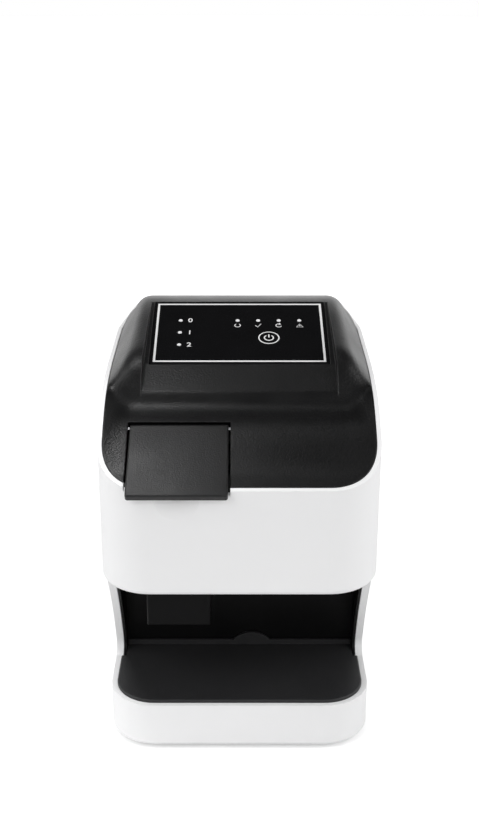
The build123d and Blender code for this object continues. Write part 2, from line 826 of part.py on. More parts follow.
def make_lower_housing():
    """White base with the two curved side walls of the bay and the rear compartment."""
    body = plan_block(lower_inset, base_bottom_z, head_bottom_z)
    body = fillet(body.faces().sort_by(Axis.Z)[0].edges(), base_edge_round)
    body -= side_opening()
    high_z = head_bottom_z + overrun
    body -= block((-bay_half_width, front_y - overrun, base_top_z), (bay_half_width, bay_back_y, high_z))
    inside = lower_inset + lower_wall
    cavity = plan_block(inside, base_bottom_z - overrun, high_z)
    rear_low_y = bay_back_y + bay_wall_thickness
    body -= cavity & block((-half_width, rear_low_y, 0), (half_width, back_y, high_z))
    room_top = base_top_z - bay_wall_thickness
    body -= cavity & block((-half_width, front_y, 0), (half_width, rear_low_y + overrun, room_top))
    front, rest = housing_screw_places()
    plate_top = base_bottom_z + bottom_plate_thickness
    for x, y in front:
        body += rod_z(boss_radius, plate_top, room_top, x, y)
    for x, y in rest:
        body += rod_z(boss_radius, plate_top, head_bottom_z, x, y)
    for x, y in front + rest:
        body -= rod_z(screw_radius + running_gap, 0, plate_top + screw_length, x, y)
    for x, y in rest:
        body -= rod_z(screw_radius + running_gap, head_bottom_z - screw_length, high_z, x, y)
    outer_y = back_y - lower_inset
    width = rear_cover_width / 2 + part_gap
    height = rear_cover_height / 2 + part_gap
    z = rear_cover_centre_z
    recess_y = outer_y - rear_cover_thickness - seat_gap
    body -= block((-width, recess_y, z - height), (width, back_y, z + height))
    width -= rear_cover_ledge
    height -= rear_cover_ledge
    body -= block((-width, outer_y - lower_wall - overrun, z - height), (width, back_y, z + height))
    for x, z in rear_screw_places():
        body += rod_y(boss_radius, recess_y - screw_length, recess_y, x, z)
        body -= rod_y(screw_radius + running_gap, recess_y - screw_length - overrun, back_y, x, z)
    return body


def rear_screw_places():
    """Screw places of the rear cover."""
    x = rear_cover_width / 2 - rear_cover_ledge
    z = rear_cover_height / 2 - rear_cover_ledge
    return [(sx * x, rear_cover_centre_z + sz * z) for sx in (-1, 1) for sz in (-1, 1)]


def make_bay_liner():
    """Black inner skin of the bay: back, ceiling and sides that stop at the white walls' edge."""
    gap = part_gap
    low_z = base_top_z + seat_gap
    high_z = head_bottom_z - seat_gap
    outer = block((gap - bay_half_width, front_y, low_z), (bay_half_width - gap, bay_back_y - gap, high_z))
    skin = bay_skin + gap
    inner = block(
        (skin - bay_half_width, front_y - overrun, low_z - overrun),
        (bay_half_width - skin, bay_back_y - skin, high_z - bay_skin),
    )
    return outer - inner - side_opening() - chute_hole(part_gap)


def make_outlet_chute():
    """Chute block: the plate's passage in front, the erasing lamps' room behind."""
    front = chute_front()
    left = path_x - chute_width / 2
    right = path_x + chute_width / 2
    rear = front + chute_depth
    body = block((left, front, chute_bottom_z), (right, rear, floor_top_z))
    body = fillet(body.edges().filter_by(Axis.Z), chute_edge_round)
    body = fillet(body.faces().sort_by(Axis.Z)[0].edges(), chute_edge_round / 2)
    flange = block(
        (left - chute_flange, front - chute_flange, floor_top_z),
        (right + chute_flange, rear + chute_flange, floor_top_z + chute_wall),
    )
    body += flange
    wall = chute_wall
    passage_back = front + wall + chute_passage
    top = floor_top_z + chute_wall + overrun
    body -= block((left + wall, front + wall, chute_bottom_z - overrun), (right - wall, passage_back, top))
    room_low = chute_bottom_z + chute_wall
    body -= block((left + wall, passage_back + wall, room_low), (right - wall, rear - wall, top))
    lamp_low, lamp_high = lamp_window()
    window_low = (left + 2 * wall, passage_back - overrun, lamp_low)
    body -= block(window_low, (right - 2 * wall, passage_back + 2 * wall, lamp_high))
    return body


def lamp_window():
    """Lower and upper edge of the window between the lamps and the plate."""
    low = chute_bottom_z + 3 * chute_wall
    return low, head_bottom_z - chute_wall


def make_erase_board():
    """Lamp board in the chute: rows of lamps that face the plate."""
    room_back = chute_front() + chute_depth - chute_wall
    board_back = room_back - heat_sink_base - heat_sink_fin - seat_gap
    low, high = lamp_window()
    half_x = chute_width / 2 - chute_wall - part_gap
    front = board_back - board_thickness
    board_low = (path_x - half_x, front, chute_bottom_z + chute_wall)
    board = block(board_low, (path_x + half_x, board_back, floor_top_z))
    step_x = (chute_width - 4 * chute_wall) / lamp_columns
    step_z = (high - low) / lamp_rows
    for column in range(lamp_columns):
        for row in range(lamp_rows):
            x = path_x + (column - (lamp_columns - 1) / 2) * step_x
            z = low + (row + 1 / 2) * step_z
            lamp = Box(lamp_size, lamp_height, lamp_size, align=(Align.CENTER, Align.MAX, Align.CENTER))
            board += Pos(x, front, z) * lamp
    return board


def make_heat_sink():
    """Finned plate behind the lamp board."""
    room_back = chute_front() + chute_depth - chute_wall
    half_x = chute_width / 2 - chute_wall - part_gap
    base_front = room_back - heat_sink_base - heat_sink_fin
    low_z = chute_bottom_z + chute_wall
    base_back = base_front + heat_sink_base
    sink = block((path_x - half_x, base_front, low_z), (path_x + half_x, base_back, floor_top_z))
    pitch = 2 * half_x / heat_sink_fins
    for index in range(heat_sink_fins):
        x = path_x - half_x + index * pitch
        sink += block((x, base_front, low_z), (x + pitch / 2, room_back - seat_gap, floor_top_z))
    return sink


def make_output_tray():
    """Black tray on the base: wide at the front, narrow between the walls, with a rear lip."""
    low_z = base_top_z
    high_z = low_z + tray_thickness
    back = bay_back_y - bay_skin - part_gap - tray_back_gap
    wide = Pos(0, tray_front_inset - tray_inset, 0) * plan_block(lower_inset + tray_inset, low_z, high_z)
    shoulder = front_y + bay_side_low_setback - bay_corner_round - tray_corner_gap
    wide &= block((-half_width, front_y, low_z), (half_width, shoulder, high_z))
    narrow_x = bay_half_width - bay_skin - part_gap - tray_side_gap
    tray = wide + block((-narrow_x, shoulder - overrun, low_z), (narrow_x, back, high_z))
    edges = tray.faces().sort_by(Axis.Z)[-1].edges()
    edges = [edge for edge in edges if edge.center().Y < front_y + front_corner_radius]
    tray = fillet(edges, tray_edge_round)
    lip = block((-narrow_x, back - tray_lip_thickness, low_z), (narrow_x, back, high_z + tray_lip_height))
    radius = (tray_grip_width**2 / 4 + tray_grip_rise**2) / (2 * tray_grip_rise)
    centre_z = high_z + tray_lip_height / 2 + tray_grip_rise - radius
    grip = rod_y(radius, back - tray_lip_thickness, back, tray_grip_x, centre_z)
    grip &= block((-narrow_x, back - head_wall, low_z), (narrow_x, back, high_z + head_width))
    return tray + lip + grip


def make_bottom_plate():
    """Floor pan with stand-offs for the main board and seats for the feet."""
    top = base_bottom_z + bottom_plate_thickness
    plate = plan_block(lower_inset + lower_wall + part_gap, base_bottom_z, top)
    for x, y in main_board_screw_places():
        post = rod_z(post_radius, base_bottom_z, board_z, x, y)
        plate += post - rod_z(screw_radius + running_gap, board_z - screw_length, board_z + overrun, x, y)
    for x, y in foot_places():
        plate -= rod_z(foot_radius + seat_gap, 0, base_bottom_z + foot_recess, x, y)
    front, rest = housing_screw_places()
    for x, y in front + rest:
        plate -= rod_z(screw_radius + running_gap, 0, top + overrun, x, y)
        plate -= rod_z(screw_head_radius + part_gap, 0, base_bottom_z + screw_head_height, x, y)
    return plate


def foot_places():
    """Centres of the four feet."""
    x = half_width - foot_inset_x
    rear_x = x - taper_per_side
    return [
        (-x, front_y + foot_inset_y),
        (x, front_y + foot_inset_y),
        (-rear_x, back_y - foot_inset_y),
        (rear_x, back_y - foot_inset_y),
    ]


def make_rubber_feet():
    """Four round feet."""
    group = []
    for x, y in foot_places():
        foot = rod_z(foot_radius, 0, base_bottom_z + foot_recess, x, y)
        group.append(chamfer(foot.edges().sort_by(Axis.Z)[0], foot_recess))
    return Compound(children=group)


def socket_places():
    """Name, centre X and outer size of the rear sockets."""
    return [
        ("network_socket", -socket_spacing, network_size),
        ("usb_socket", 0, usb_size),
        ("power_socket", socket_spacing, power_size),
    ]


def make_rear_cover():
    """Rear cover with vents over the board and cut-outs for the sockets."""
    outer_y = back_y - lower_inset
    z = rear_cover_centre_z
    plate = block(
        (-rear_cover_width / 2, outer_y - rear_cover_thickness, z - rear_cover_height / 2),
        (rear_cover_width / 2, outer_y, z + rear_cover_height / 2),
    )
    plate = fillet(plate.edges().filter_by(Axis.Y), rear_cover_corner)
    socket_low = board_z + board_thickness
    for name, x, size in socket_places():
        half_x = size[0] / 2 + socket_edge_gap
        plate -= block(
            (x - half_x, outer_y - lower_wall, socket_low - socket_edge_gap),
            (x + half_x, back_y, socket_low + size[2] + socket_edge_gap),
        )
    top_z = z + rear_cover_height / 2 - 2 * rear_cover_ledge - vent_width
    slot = SlotOverall(vent_length, vent_width)
    for index in range(vent_count):
        vent_z = top_z - index * vent_pitch
        vent_plane = Plane(origin=(0, outer_y, vent_z), x_dir=(1, 0, 0), z_dir=(0, -1, 0))
        plate -= extrude(vent_plane * slot, lower_wall, both=True)
    for x, screw_z in rear_screw_places():
        plate -= rod_y(screw_radius + running_gap, outer_y - lower_wall, back_y, x, screw_z)
        plate -= rod_y(screw_head_radius + part_gap, outer_y - screw_head_height, back_y, x, screw_z)
    return plate


def socket_rear_y():
    """Outer face of the sockets."""
    return back_y - lower_inset - socket_back_gap


def socket_shell(x, size):
    """Outer block of a socket, standing on the main board."""
    low_z = board_z + board_thickness
    rear = socket_rear_y()
    return block((x - size[0] / 2, rear - size[1], low_z), (x + size[0] / 2, rear, low_z + size[2]))


def socket_hole(x, size, hole):
    """Rectangular way into a socket from the rear."""
    middle_z = board_z + board_thickness + size[2] / 2
    rear = socket_rear_y()
    return block(
        (x - hole[0] / 2, rear - hole[1], middle_z - hole[2] / 2),
        (x + hole[0] / 2, rear + overrun, middle_z + hole[2] / 2),
    )


def make_network_socket():
    """Network socket with a latch notch above its opening."""
    x = -socket_spacing
    shell = socket_shell(x, network_size) - socket_hole(x, network_size, network_hole)
    latch = (network_hole[0] / 2, network_hole[1], network_hole[2] + 2 * latch_depth)
    middle_z = board_z + board_thickness + network_size[2] / 2
    upper = block((x - latch[0], front_y, middle_z), (x + latch[0], back_y, head_bottom_z))
    return shell - (socket_hole(x, network_size, latch) & upper)


def make_usb_socket():
    """Square data socket with a tongue in its opening."""
    shell = socket_shell(0, usb_size) - socket_hole(0, usb_size, usb_hole)
    middle_z = board_z + board_thickness + usb_size[2] / 2
    rear = socket_rear_y() - usb_hole[1]
    return shell + block(
        (-usb_tongue[0] / 2, rear, middle_z - usb_tongue[2] / 2),
        (usb_tongue[0] / 2, rear + usb_tongue[1], middle_z + usb_tongue[2] / 2),
    )


def make_power_socket():
    """Round low-voltage inlet with its centre pin."""
    x = socket_spacing
    middle_z = board_z + board_thickness + power_size[2] / 2
    rear = socket_rear_y()
    shell = socket_shell(x, power_size)
    shell -= rod_y(power_hole_radius, rear - power_hole_depth, rear + overrun, x, middle_z)
    return shell + rod_y(power_pin_radius, rear - power_hole_depth - seat_gap, rear - seat_gap, x, middle_z)


def main_board_corners():
    """Corners of the main board, up to just inside the rear wall."""
    rear = back_y - lower_inset - lower_wall - part_gap
    return (-board_width / 2, rear - board_depth), (board_width / 2, rear)


def main_board_screw_places():
    """Screw places of the main board."""
    low, high = main_board_corners()
    inset = board_screw_margin
    ys = (low[1] + inset, high[1] - board_rear_margin)
    return [(x, y) for x in (low[0] + inset, high[0] - inset) for y in ys]


def add_chips(board, corner, top_z, chips):
    """Chips and coils on a board: place and size of each, as shares of the board."""
    low, high = corner
    for x_share, y_share, width_share, depth_share, height in chips:
        x = low[0] + x_share * (high[0] - low[0])
        y = low[1] + y_share * (high[1] - low[1])
        width = width_share * (high[0] - low[0])
        depth = depth_share * (high[1] - low[1])
        board += block((x, y, top_z), (x + width, y + depth, top_z + height))
    return board


def make_main_board():
    """Main board behind the bay, on the floor pan's stand-offs."""
    low, high = main_board_corners()
    top = board_z + board_thickness
    board = block((*low, board_z), (*high, top))
    for x, y in main_board_screw_places():
        board -= rod_z(screw_radius + running_gap, board_z - overrun, top + overrun, x, y)
    chip_shares = [
        (0.34, 0.34, 0.22, 0.24, chip_height),
        (0.64, 0.50, 0.14, 0.14, chip_height),
        (0.12, 0.36, 0.12, 0.22, 3 * chip_height),
        (0.40, 0.08, 0.30, 0.10, 2 * chip_height),
    ]
    return add_chips(board, (low, high), top, chip_shares)


def make_housing_screws():
    """Screws of the floor pan, of the head and of the rear cover."""
    group = []
    front, rest = housing_screw_places()
    for x, y in front + rest:
        head_top = base_bottom_z + screw_head_height - seat_gap
        head = rod_z(screw_head_radius, head_top - screw_head_height + seat_gap, head_top, x, y)
        group.append(head + rod_z(screw_radius, head_top - seat_gap, head_top + screw_length, x, y))
    for x, y in rest:
        head = rod_z(screw_head_radius, floor_top_z, floor_top_z + screw_head_height, x, y)
        group.append(head + rod_z(screw_radius, floor_top_z - screw_length, floor_top_z + seat_gap, x, y))
    outer_y = back_y - lower_inset - seat_gap
    root_y = outer_y - screw_head_height - screw_length
    for x, z in rear_screw_places():
        head = rod_y(screw_head_radius, outer_y - screw_head_height + seat_gap, outer_y, x, z)
        group.append(head + rod_y(screw_radius, root_y, outer_y - seat_gap, x, z))
    return Compound(children=group)


def make_board_screws():
    """Screws of the control board and of the main board."""
    group = []
    under = -board_drop - board_thickness
    tip = under + board_thickness + screw_length / 3
    for x, y in board_screw_places():
        screw = rod_z(screw_head_radius, under - screw_head_height, under, x, y)
        screw += rod_z(screw_radius - running_gap, under - seat_gap, tip, x, y)
        group.append(panel_plane * screw)
    top = board_z + board_thickness
    for x, y in main_board_screw_places():
        screw = rod_z(screw_head_radius, top, top + screw_head_height, x, y)
        group.append(screw + rod_z(screw_radius, top + seat_gap - screw_length, top + seat_gap, x, y))
    return Compound(children=group)


# Places of the transport: shafts, gears and the motor, behind the front wall
belt_face_y = path_y - nip_gap / 2
shaft_y = belt_face_y - belt_thickness - belt_gap - pulley_radius
pinch_y = path_y + nip_gap / 2 + pinch_radius
scan_z = (upper_shaft_z + lower_shaft_z) / 2
chassis_top_z = floor_top_z + chassis_thickness
plate_inner = module_half_width - side_plate_thickness / 2
left_plate_x = path_x - plate_inner - side_plate_thickness
right_plate_x = path_x + plate_inner
motor_bracket_x = path_x + motor_bracket_reach
gear_left_x = right_plate_x + side_plate_thickness + bearing_flange_thickness + part_gap
gear_right_x = gear_left_x + gear_width


def gear_step(first_teeth, second_teeth):
    """Steps in Y and Z from one gear's centre to the next."""
    reach = gear_module * (first_teeth + second_teeth) / 2 + centre_slack
    angle = radians(gear_line_angle)
    return reach * cos(angle), reach * sin(angle)


step_y, step_z = gear_step(shaft_gear_teeth, idler_teeth)
idler_y = shaft_y + step_y
idler_z = upper_shaft_z + step_z
step_y, step_z = gear_step(idler_teeth, pinion_teeth)
motor_y = idler_y + step_y
motor_z = idler_z + step_z


def gear_face(teeth, tooth_angle):
    """Spur gear outline with involute flanks and one tooth centred on the angle, in radians."""
    pitch_radius = gear_module * teeth / 2
    base_radius = pitch_radius * cos(radians(pressure_angle))
    tip_radius = pitch_radius + gear_module * addendum_share
    root_radius = pitch_radius - gear_module * dedendum_share
    start_radius = max(base_radius, root_radius)
    middle_radius = (start_radius + tip_radius) / 2

    def unwind(radius):
        roll = sqrt(radius**2 / base_radius**2 - 1)
        return roll - atan(roll)

    half_tooth = pi / 2 / teeth - tooth_backlash / 2 / pitch_radius + unwind(pitch_radius)
    radii = (start_radius, middle_radius, tip_radius)
    flank = [(radius, half_tooth - unwind(radius)) for radius in radii]
    if root_radius < base_radius:
        flank.insert(0, (root_radius, flank[0][1]))
    points = []
    for tooth in range(teeth):
        centre = tooth_angle + 2 * pi * tooth / teeth
        turns = [(radius, centre - half) for radius, half in flank]
        turns += [(radius, centre + half) for radius, half in reversed(flank)]
        points += [(radius * cos(turn), radius * sin(turn)) for radius, turn in turns]
    return make_face(Polyline(*points, close=True))


def gear_x(teeth, tooth_angle, x_low, x_high, y, z):
    """Spur gear on an axis along X."""
    face = Plane(origin=(x_low, y, z), x_dir=(0, 1, 0), z_dir=(1, 0, 0)) * gear_face(teeth, tooth_angle)
    return extrude(face, x_high - x_low)


def make_shaft_gear():
    """Gear on the upper roller's right end, one tooth towards the idler."""
    line = radians(gear_line_angle)
    gear = gear_x(shaft_gear_teeth, line, gear_left_x, gear_right_x, shaft_y, upper_shaft_z)
    low = gear_left_x - overrun
    high = gear_right_x + overrun
    return gear - rod_x(shaft_radius + running_gap, low, high, shaft_y, upper_shaft_z)


def make_idler_gear():
    """Idler between the shaft gear and the pinion: a gap towards each of them."""
    line = radians(gear_line_angle)
    angle = line + pi + pi / idler_teeth
    gear = gear_x(idler_teeth, angle, gear_left_x, gear_right_x, idler_y, idler_z)
    bore = rod_x(shaft_radius + running_gap, gear_left_x - overrun, gear_right_x + overrun, idler_y, idler_z)
    return gear - bore


def make_motor_pinion():
    """Pinion and motor shaft, one tooth towards the idler."""
    angle = radians(gear_line_angle) + pi
    pinion = gear_x(pinion_teeth, angle, gear_left_x, gear_right_x, motor_y, motor_z)
    shaft_end = motor_bracket_x + motor_bracket_thickness + gearbox_length / 2
    return pinion + rod_x(motor_shaft_radius, gear_left_x, shaft_end, motor_y, motor_z)


def make_idler_axle():
    """Stub axle of the idler, riveted to the right side plate, with a retaining head."""
    axle_left = right_plate_x + running_gap
    axle = rod_x(shaft_radius, axle_left, gear_right_x + part_gap, idler_y, idler_z)
    low = gear_right_x + part_gap
    high = low + bearing_flange_thickness
    return axle + rod_x(shaft_radius + bearing_flange, low, high, idler_y, idler_z)


def make_roller(z):
    """Belt shaft with its two flanged pulleys."""
    left = left_plate_x - part_gap
    right = right_plate_x + side_plate_thickness + part_gap
    if z == upper_shaft_z:
        right = gear_right_x
    roller = rod_x(shaft_radius, left, right, shaft_y, z)
    for side in (-1, 1):
        middle = path_x + side * belt_spacing
        half = belt_width / 2 + seat_gap
        roller += rod_x(pulley_radius, middle - half, middle + half, shaft_y, z)
        for edge in (-1, 1):
            inner = middle + edge * half
            outer = inner + edge * pulley_rim_thickness
            roller += rod_x(pulley_radius + pulley_rim, min(inner, outer), max(inner, outer), shaft_y, z)
    return roller


def make_pinch_roller(z):
    """Pinch shaft with its two rubber sleeves."""
    left = left_plate_x - part_gap
    right = right_plate_x + side_plate_thickness + part_gap
    roller = rod_x(shaft_radius, left, right, pinch_y, z)
    for side in (-1, 1):
        middle = path_x + side * belt_spacing
        half = pinch_sleeve_width / 2
        roller += rod_x(pinch_radius, middle - half, middle + half, pinch_y, z)
    return roller


def make_transport_belts():
    """Two flat belts round the pulleys."""
    span = upper_shaft_z - lower_shaft_z
    inner_radius = pulley_radius + belt_gap
    outer = SlotCenterToCenter(span, 2 * (inner_radius + belt_thickness))
    inner = SlotCenterToCenter(span, 2 * inner_radius)
    group = []
    for side in (-1, 1):
        left = path_x + side * belt_spacing - belt_width / 2
        start = Plane(origin=(left, shaft_y, scan_z), x_dir=(0, 0, 1), z_dir=(1, 0, 0))
        group.append(extrude(start * (outer - inner), belt_width))
    return Compound(children=group)


def bearing_places():
    """Shaft centres in the side plates, in Y and Z."""
    return [(y, z) for y in (shaft_y, pinch_y) for z in (lower_shaft_z, upper_shaft_z)]


def make_shaft_bearings():
    """Flanged bushes of the four shafts in both side plates."""
    group = []
    for plate_x, outward in ((left_plate_x, -1), (right_plate_x, 1)):
        for y, z in bearing_places():
            outer_x = plate_x if outward < 0 else plate_x + side_plate_thickness
            flange_x = outer_x + outward * bearing_flange_thickness
            low, high = sorted((outer_x, flange_x))
            bush = rod_x(bearing_radius, plate_x, plate_x + side_plate_thickness, y, z)
            bush += rod_x(bearing_radius + bearing_flange, low, high, y, z)
            bore = rod_x(shaft_radius + running_gap, plate_x - overrun, plate_x + 2 * overrun, y, z)
            group.append(bush - bore)
    return Compound(children=group)


def make_side_plate(plate_x, outward):
    """Side plate of the transport: bearing holes, a window and a bent foot on the chassis."""
    front = front_y + side_plate_front
    back = front_y + side_plate_back
    inner_x = plate_x + side_plate_thickness
    plate = block((plate_x, front, chassis_top_z), (inner_x, back, side_plate_top_z))
    upper = plate.edges().filter_by(Axis.X).group_by(Axis.Z)[-1]
    plate = fillet(upper, bearing_radius)
    foot_x = plate_x + side_plate_thickness / 2
    foot_end = foot_x + outward * side_plate_flange
    low_x, high_x = sorted((plate_x if outward > 0 else inner_x, foot_end))
    foot_top = chassis_top_z + side_plate_thickness
    foot = block((low_x, front, chassis_top_z), (high_x, back, foot_top))
    plate += foot & plan_block(head_wall + bracket_sheet, floor_top_z, side_plate_top_z)
    plate -= well_block(cover_wall + part_gap)
    low_x = plate_x - overrun
    high_x = inner_x + overrun
    for y, z in bearing_places():
        plate -= rod_x(bearing_radius + running_gap, low_x, high_x, y, z)
    window_half = (upper_shaft_z - lower_shaft_z) / 2 - bearing_radius - bearing_flange - overrun
    middle_y = (shaft_y + pinch_y) / 2
    window = block(
        (low_x, middle_y - bearing_radius, scan_z - window_half),
        (high_x, middle_y + bearing_radius, scan_z + window_half),
    )
    plate -= fillet(window.edges().filter_by(Axis.X), bearing_radius / 2)
    for y, z in tie_rod_places():
        plate -= rod_x(tie_rod_radius + running_gap, low_x, high_x, y, z)
    if outward > 0:
        plate -= rod_x(shaft_radius + running_gap, low_x, high_x, idler_y, idler_z)
    return plate


def tie_rod_places():
    """Centres of the tie rods, in Y and Z."""
    front = front_y + side_plate_front + tie_rod_inset
    back = front_y + side_plate_back - 2 * tie_rod_inset
    return [(front, lower_shaft_z), (front, side_plate_top_z - 2 * tie_rod_inset), (back, upper_shaft_z)]


def make_tie_rods():
    """Rods that hold the side plates apart."""
    group = []
    for y, z in tie_rod_places():
        group.append(rod_x(tie_rod_radius, left_plate_x, right_plate_x + side_plate_thickness, y, z))
    return Compound(children=group)


def make_drive_motor():
    """Gear motor: a gearbox on the bracket, a can behind it and two tags."""
    left = motor_bracket_x + motor_bracket_thickness
    box_end = left + gearbox_length
    can_end = box_end + motor_length
    motor = rod_x(motor_radius, left, box_end, motor_y, motor_z)
    motor += rod_x(motor_radius - gear_module, box_end, can_end, motor_y, motor_z)
    motor += rod_x(motor_radius / 3, can_end, can_end + overrun, motor_y, motor_z)
    bore_end = box_end - gear_module
    return motor - rod_x(motor_shaft_radius + running_gap, left - overrun, bore_end, motor_y, motor_z)


def make_motor_bracket():
    """Bent sheet that stands on the chassis and carries the motor."""
    half = motor_radius + overrun
    left = motor_bracket_x
    right = left + motor_bracket_thickness
    sheet = block((left, motor_y - half, chassis_top_z), (right, motor_y + half, motor_z + half))
    sheet = fillet(sheet.edges().filter_by(Axis.X).group_by(Axis.Z)[-1], bearing_radius)
    sheet += block(
        (left, motor_y - half, chassis_top_z),
        (right + side_plate_flange, motor_y + half, chassis_top_z + motor_bracket_thickness),
    )
    hole = rod_x(motor_shaft_radius + part_gap, left - overrun, right + overrun, motor_y, motor_z)
    flange_end = right + side_plate_flange
    clear = rod_x(motor_radius + part_gap, right, flange_end + overrun, motor_y, motor_z)
    return sheet - hole - clear


def make_curved_guide():
    """Curved guide behind the plate: an arc in plan, a scan slit and two end blocks."""
    low = scan_z - guide_height / 2
    high = scan_z + guide_height / 2
    arc = tube_z(guide_radius, guide_radius - guide_thickness, low, high, path_x, optics_y)
    side_x = guide_radius * sin(radians(guide_angle))
    front_y_low = optics_y - guide_radius
    side_y = optics_y - guide_radius * cos(radians(guide_angle))
    arc &= block((path_x - side_x, front_y_low, low), (path_x + side_x, side_y + guide_thickness, high))
    slit_half = scan_slit_height / 2
    slit_x = guide_radius * sin(radians(scan_slit_angle))
    slit_low = (path_x - slit_x, front_y_low - overrun, scan_z - slit_half)
    arc -= block(slit_low, (path_x + slit_x, optics_y, scan_z + slit_half))
    for side in (-1, 1):
        xs = sorted((path_x + side * (side_x - guide_thickness), path_x + side * plate_inner))
        arc += block((xs[0], side_y - guide_thickness / 2, low), (xs[1], side_y + 2 * guide_thickness, high))
    return arc


optics_y = path_y + nip_gap / 2 + guide_radius
prism_low_z = scan_z - prism_height / 2
hub_low_z = prism_low_z - prism_hub_height
motor_high_z = hub_low_z - moving_gap
motor_low_z = motor_high_z - prism_motor_height
shelf_low_z = motor_low_z - bracket_sheet
bracket_base_z = chassis_top_z + bracket_sheet
collector_low_z = scan_z + prism_height / 2 + collector_gap
collector_high_z = collector_low_z + collector_height
tube_shelf_z = collector_high_z + bracket_sheet
filter_top_z = tube_shelf_z + filter_thickness
tube_top_z = filter_top_z + tube_length
clamp_low_z = filter_top_z + tube_length / 2


def make_optics_bracket():
    """Sheet tower of the optics: a foot, a back and three shelves with holes on one axis."""
    half_x = collector_wide_radius + bracket_sheet
    back_front = optics_y + collector_wide_radius + bracket_sheet
    back_rear = back_front + bracket_sheet
    left = path_x - half_x
    right = path_x + half_x
    top = clamp_low_z + bracket_sheet
    tower = block((left, back_front, chassis_top_z), (right, back_rear, top))
    tower += block((left, optics_y - prism_motor_radius, chassis_top_z), (right, back_rear, bracket_base_z))
    reach = prism_motor_radius + bracket_sheet
    for low, hole in (
        (shelf_low_z, laser_lens_radius + part_gap),
        (collector_high_z, collector_narrow_radius - collector_wall),
        (clamp_low_z, tube_radius + seat_gap),
    ):
        shelf = rod_z(reach, low, low + bracket_sheet, path_x, optics_y)
        shelf += block((path_x - reach, optics_y, low), (path_x + reach, back_rear, low + bracket_sheet))
        tower += shelf - rod_z(hole, low - overrun, low + 2 * overrun, path_x, optics_y)
    return tower


def make_laser_module():
    """Laser barrel under the prism motor."""
    low = bracket_base_z
    high = shelf_low_z - part_gap
    laser = rod_z(laser_radius, low, high, path_x, optics_y)
    groove_low = low + bracket_sheet
    groove_high = groove_low + bracket_sheet
    groove_radius = laser_radius - bracket_sheet / 2
    laser -= tube_z(laser_radius + overrun, groove_radius, groove_low, groove_high, path_x, optics_y)
    return laser - rod_z(laser_lens_radius, high - bracket_sheet, high + overrun, path_x, optics_y)


def make_prism_motor():
    """Flat motor with a hollow shaft's bore."""
    motor = rod_z(prism_motor_radius, motor_low_z, motor_high_z, path_x, optics_y)
    motor = chamfer(motor.edges().sort_by(Axis.Z)[-1], bracket_sheet / 2)
    low = motor_low_z - overrun
    high = motor_high_z + overrun
    return motor - rod_z(prism_shaft_radius + running_gap, low, high, path_x, optics_y)


def make_prism_rotor():
    """Hub, hollow shaft and the five-sided prism on one spinning body."""
    rotor = rod_z(prism_hub_radius, hub_low_z, prism_low_z, path_x, optics_y)
    rotor += rod_z(prism_shaft_radius, hub_low_z - prism_shaft_length, hub_low_z, path_x, optics_y)
    rotor -= rod_z(prism_beam_radius, motor_low_z - overrun, prism_low_z + overrun, path_x, optics_y)
    half = prism_size / 2
    cut = half - half * cut_share
    outline = Polyline((-half, -half), (half, -half), (half, cut), (cut, half), (-half, half), close=True)
    sides = make_face(outline)
    return rotor + extrude(Pos(path_x, optics_y, prism_low_z) * sides, prism_height)


def make_light_collector():
    """Bowl-like reflector round the beam, open to the plate below and to the filter above."""
    wide = collector_wide_radius
    narrow = collector_narrow_radius
    wall = collector_wall
    low = collector_low_z
    high = collector_high_z
    outer = ThreePointArc((wide, low), ((wide + narrow) / 2 + wall, (low + high) / 2), (narrow, high))
    top = Line((narrow, high), (narrow - wall, high))
    inner = ThreePointArc((narrow - wall, high), ((wide + narrow) / 2, (low + high) / 2), (wide - wall, low))
    base = Line((wide - wall, low), (wide, low))
    profile = make_face([outer, top, inner, base])
    bowl = revolve(Plane.XZ * profile, Axis.Z)
    return Pos(path_x, optics_y, 0) * bowl


def make_blue_filter():
    """Glass disc between the reflector and the tube."""
    return rod_z(tube_radius, tube_shelf_z, filter_top_z, path_x, optics_y)


def make_light_tube():
    """Light detector tube, narrowed below its socket."""
    tube = rod_z(tube_radius, filter_top_z, tube_top_z, path_x, optics_y)
    return fillet(tube.edges().sort_by(Axis.Z)[-1], bracket_sheet)


def make_tube_socket():
    """Socket of the detector tube, with a ring of pin heads."""
    socket = rod_z(tube_radius, tube_top_z, tube_top_z + tube_socket_height, path_x, optics_y)
    ring = tube_radius * 2 / 3
    top = tube_top_z + tube_socket_height
    for index in range(tube_pins):
        angle = 2 * pi * index / tube_pins
        x = path_x + ring * cos(angle)
        y = optics_y + ring * sin(angle)
        socket += rod_z(prism_beam_radius, top, top + bracket_sheet / 2, x, y)
    return socket


def make_chassis_plate():
    """Sheet on the head's floor that carries the transport and the optics."""
    plate = plan_block(head_wall + bracket_sheet, floor_top_z, chassis_top_z)
    back_limit = optics_y + chassis_reach
    side = half_width - head_wall - chassis_margin
    plate &= block((-side, front_y, 0), (side, back_limit, rim_back_z))
    front = chute_front()
    grow = chute_flange + part_gap
    plate -= block(
        (path_x - chute_width / 2 - grow, front - grow, 0),
        (path_x + chute_width / 2 + grow, front + chute_depth + grow, rim_back_z),
    )
    return plate


def signal_board_corners():
    """Corners of the signal board, to the right of the optics."""
    left = path_x + collector_wide_radius + signal_board_gap
    front = motor_y + motor_radius + signal_board_gap
    right = half_width - head_wall - signal_board_margin
    return (left, front), (right, front + signal_board_depth)


def signal_post_places():
    """Places of the signal board's stand-offs."""
    low, high = signal_board_corners()
    inset = board_screw_margin
    return [(x, y) for x in (low[0] + inset, high[0] - inset) for y in (low[1] + inset, high[1] - inset)]


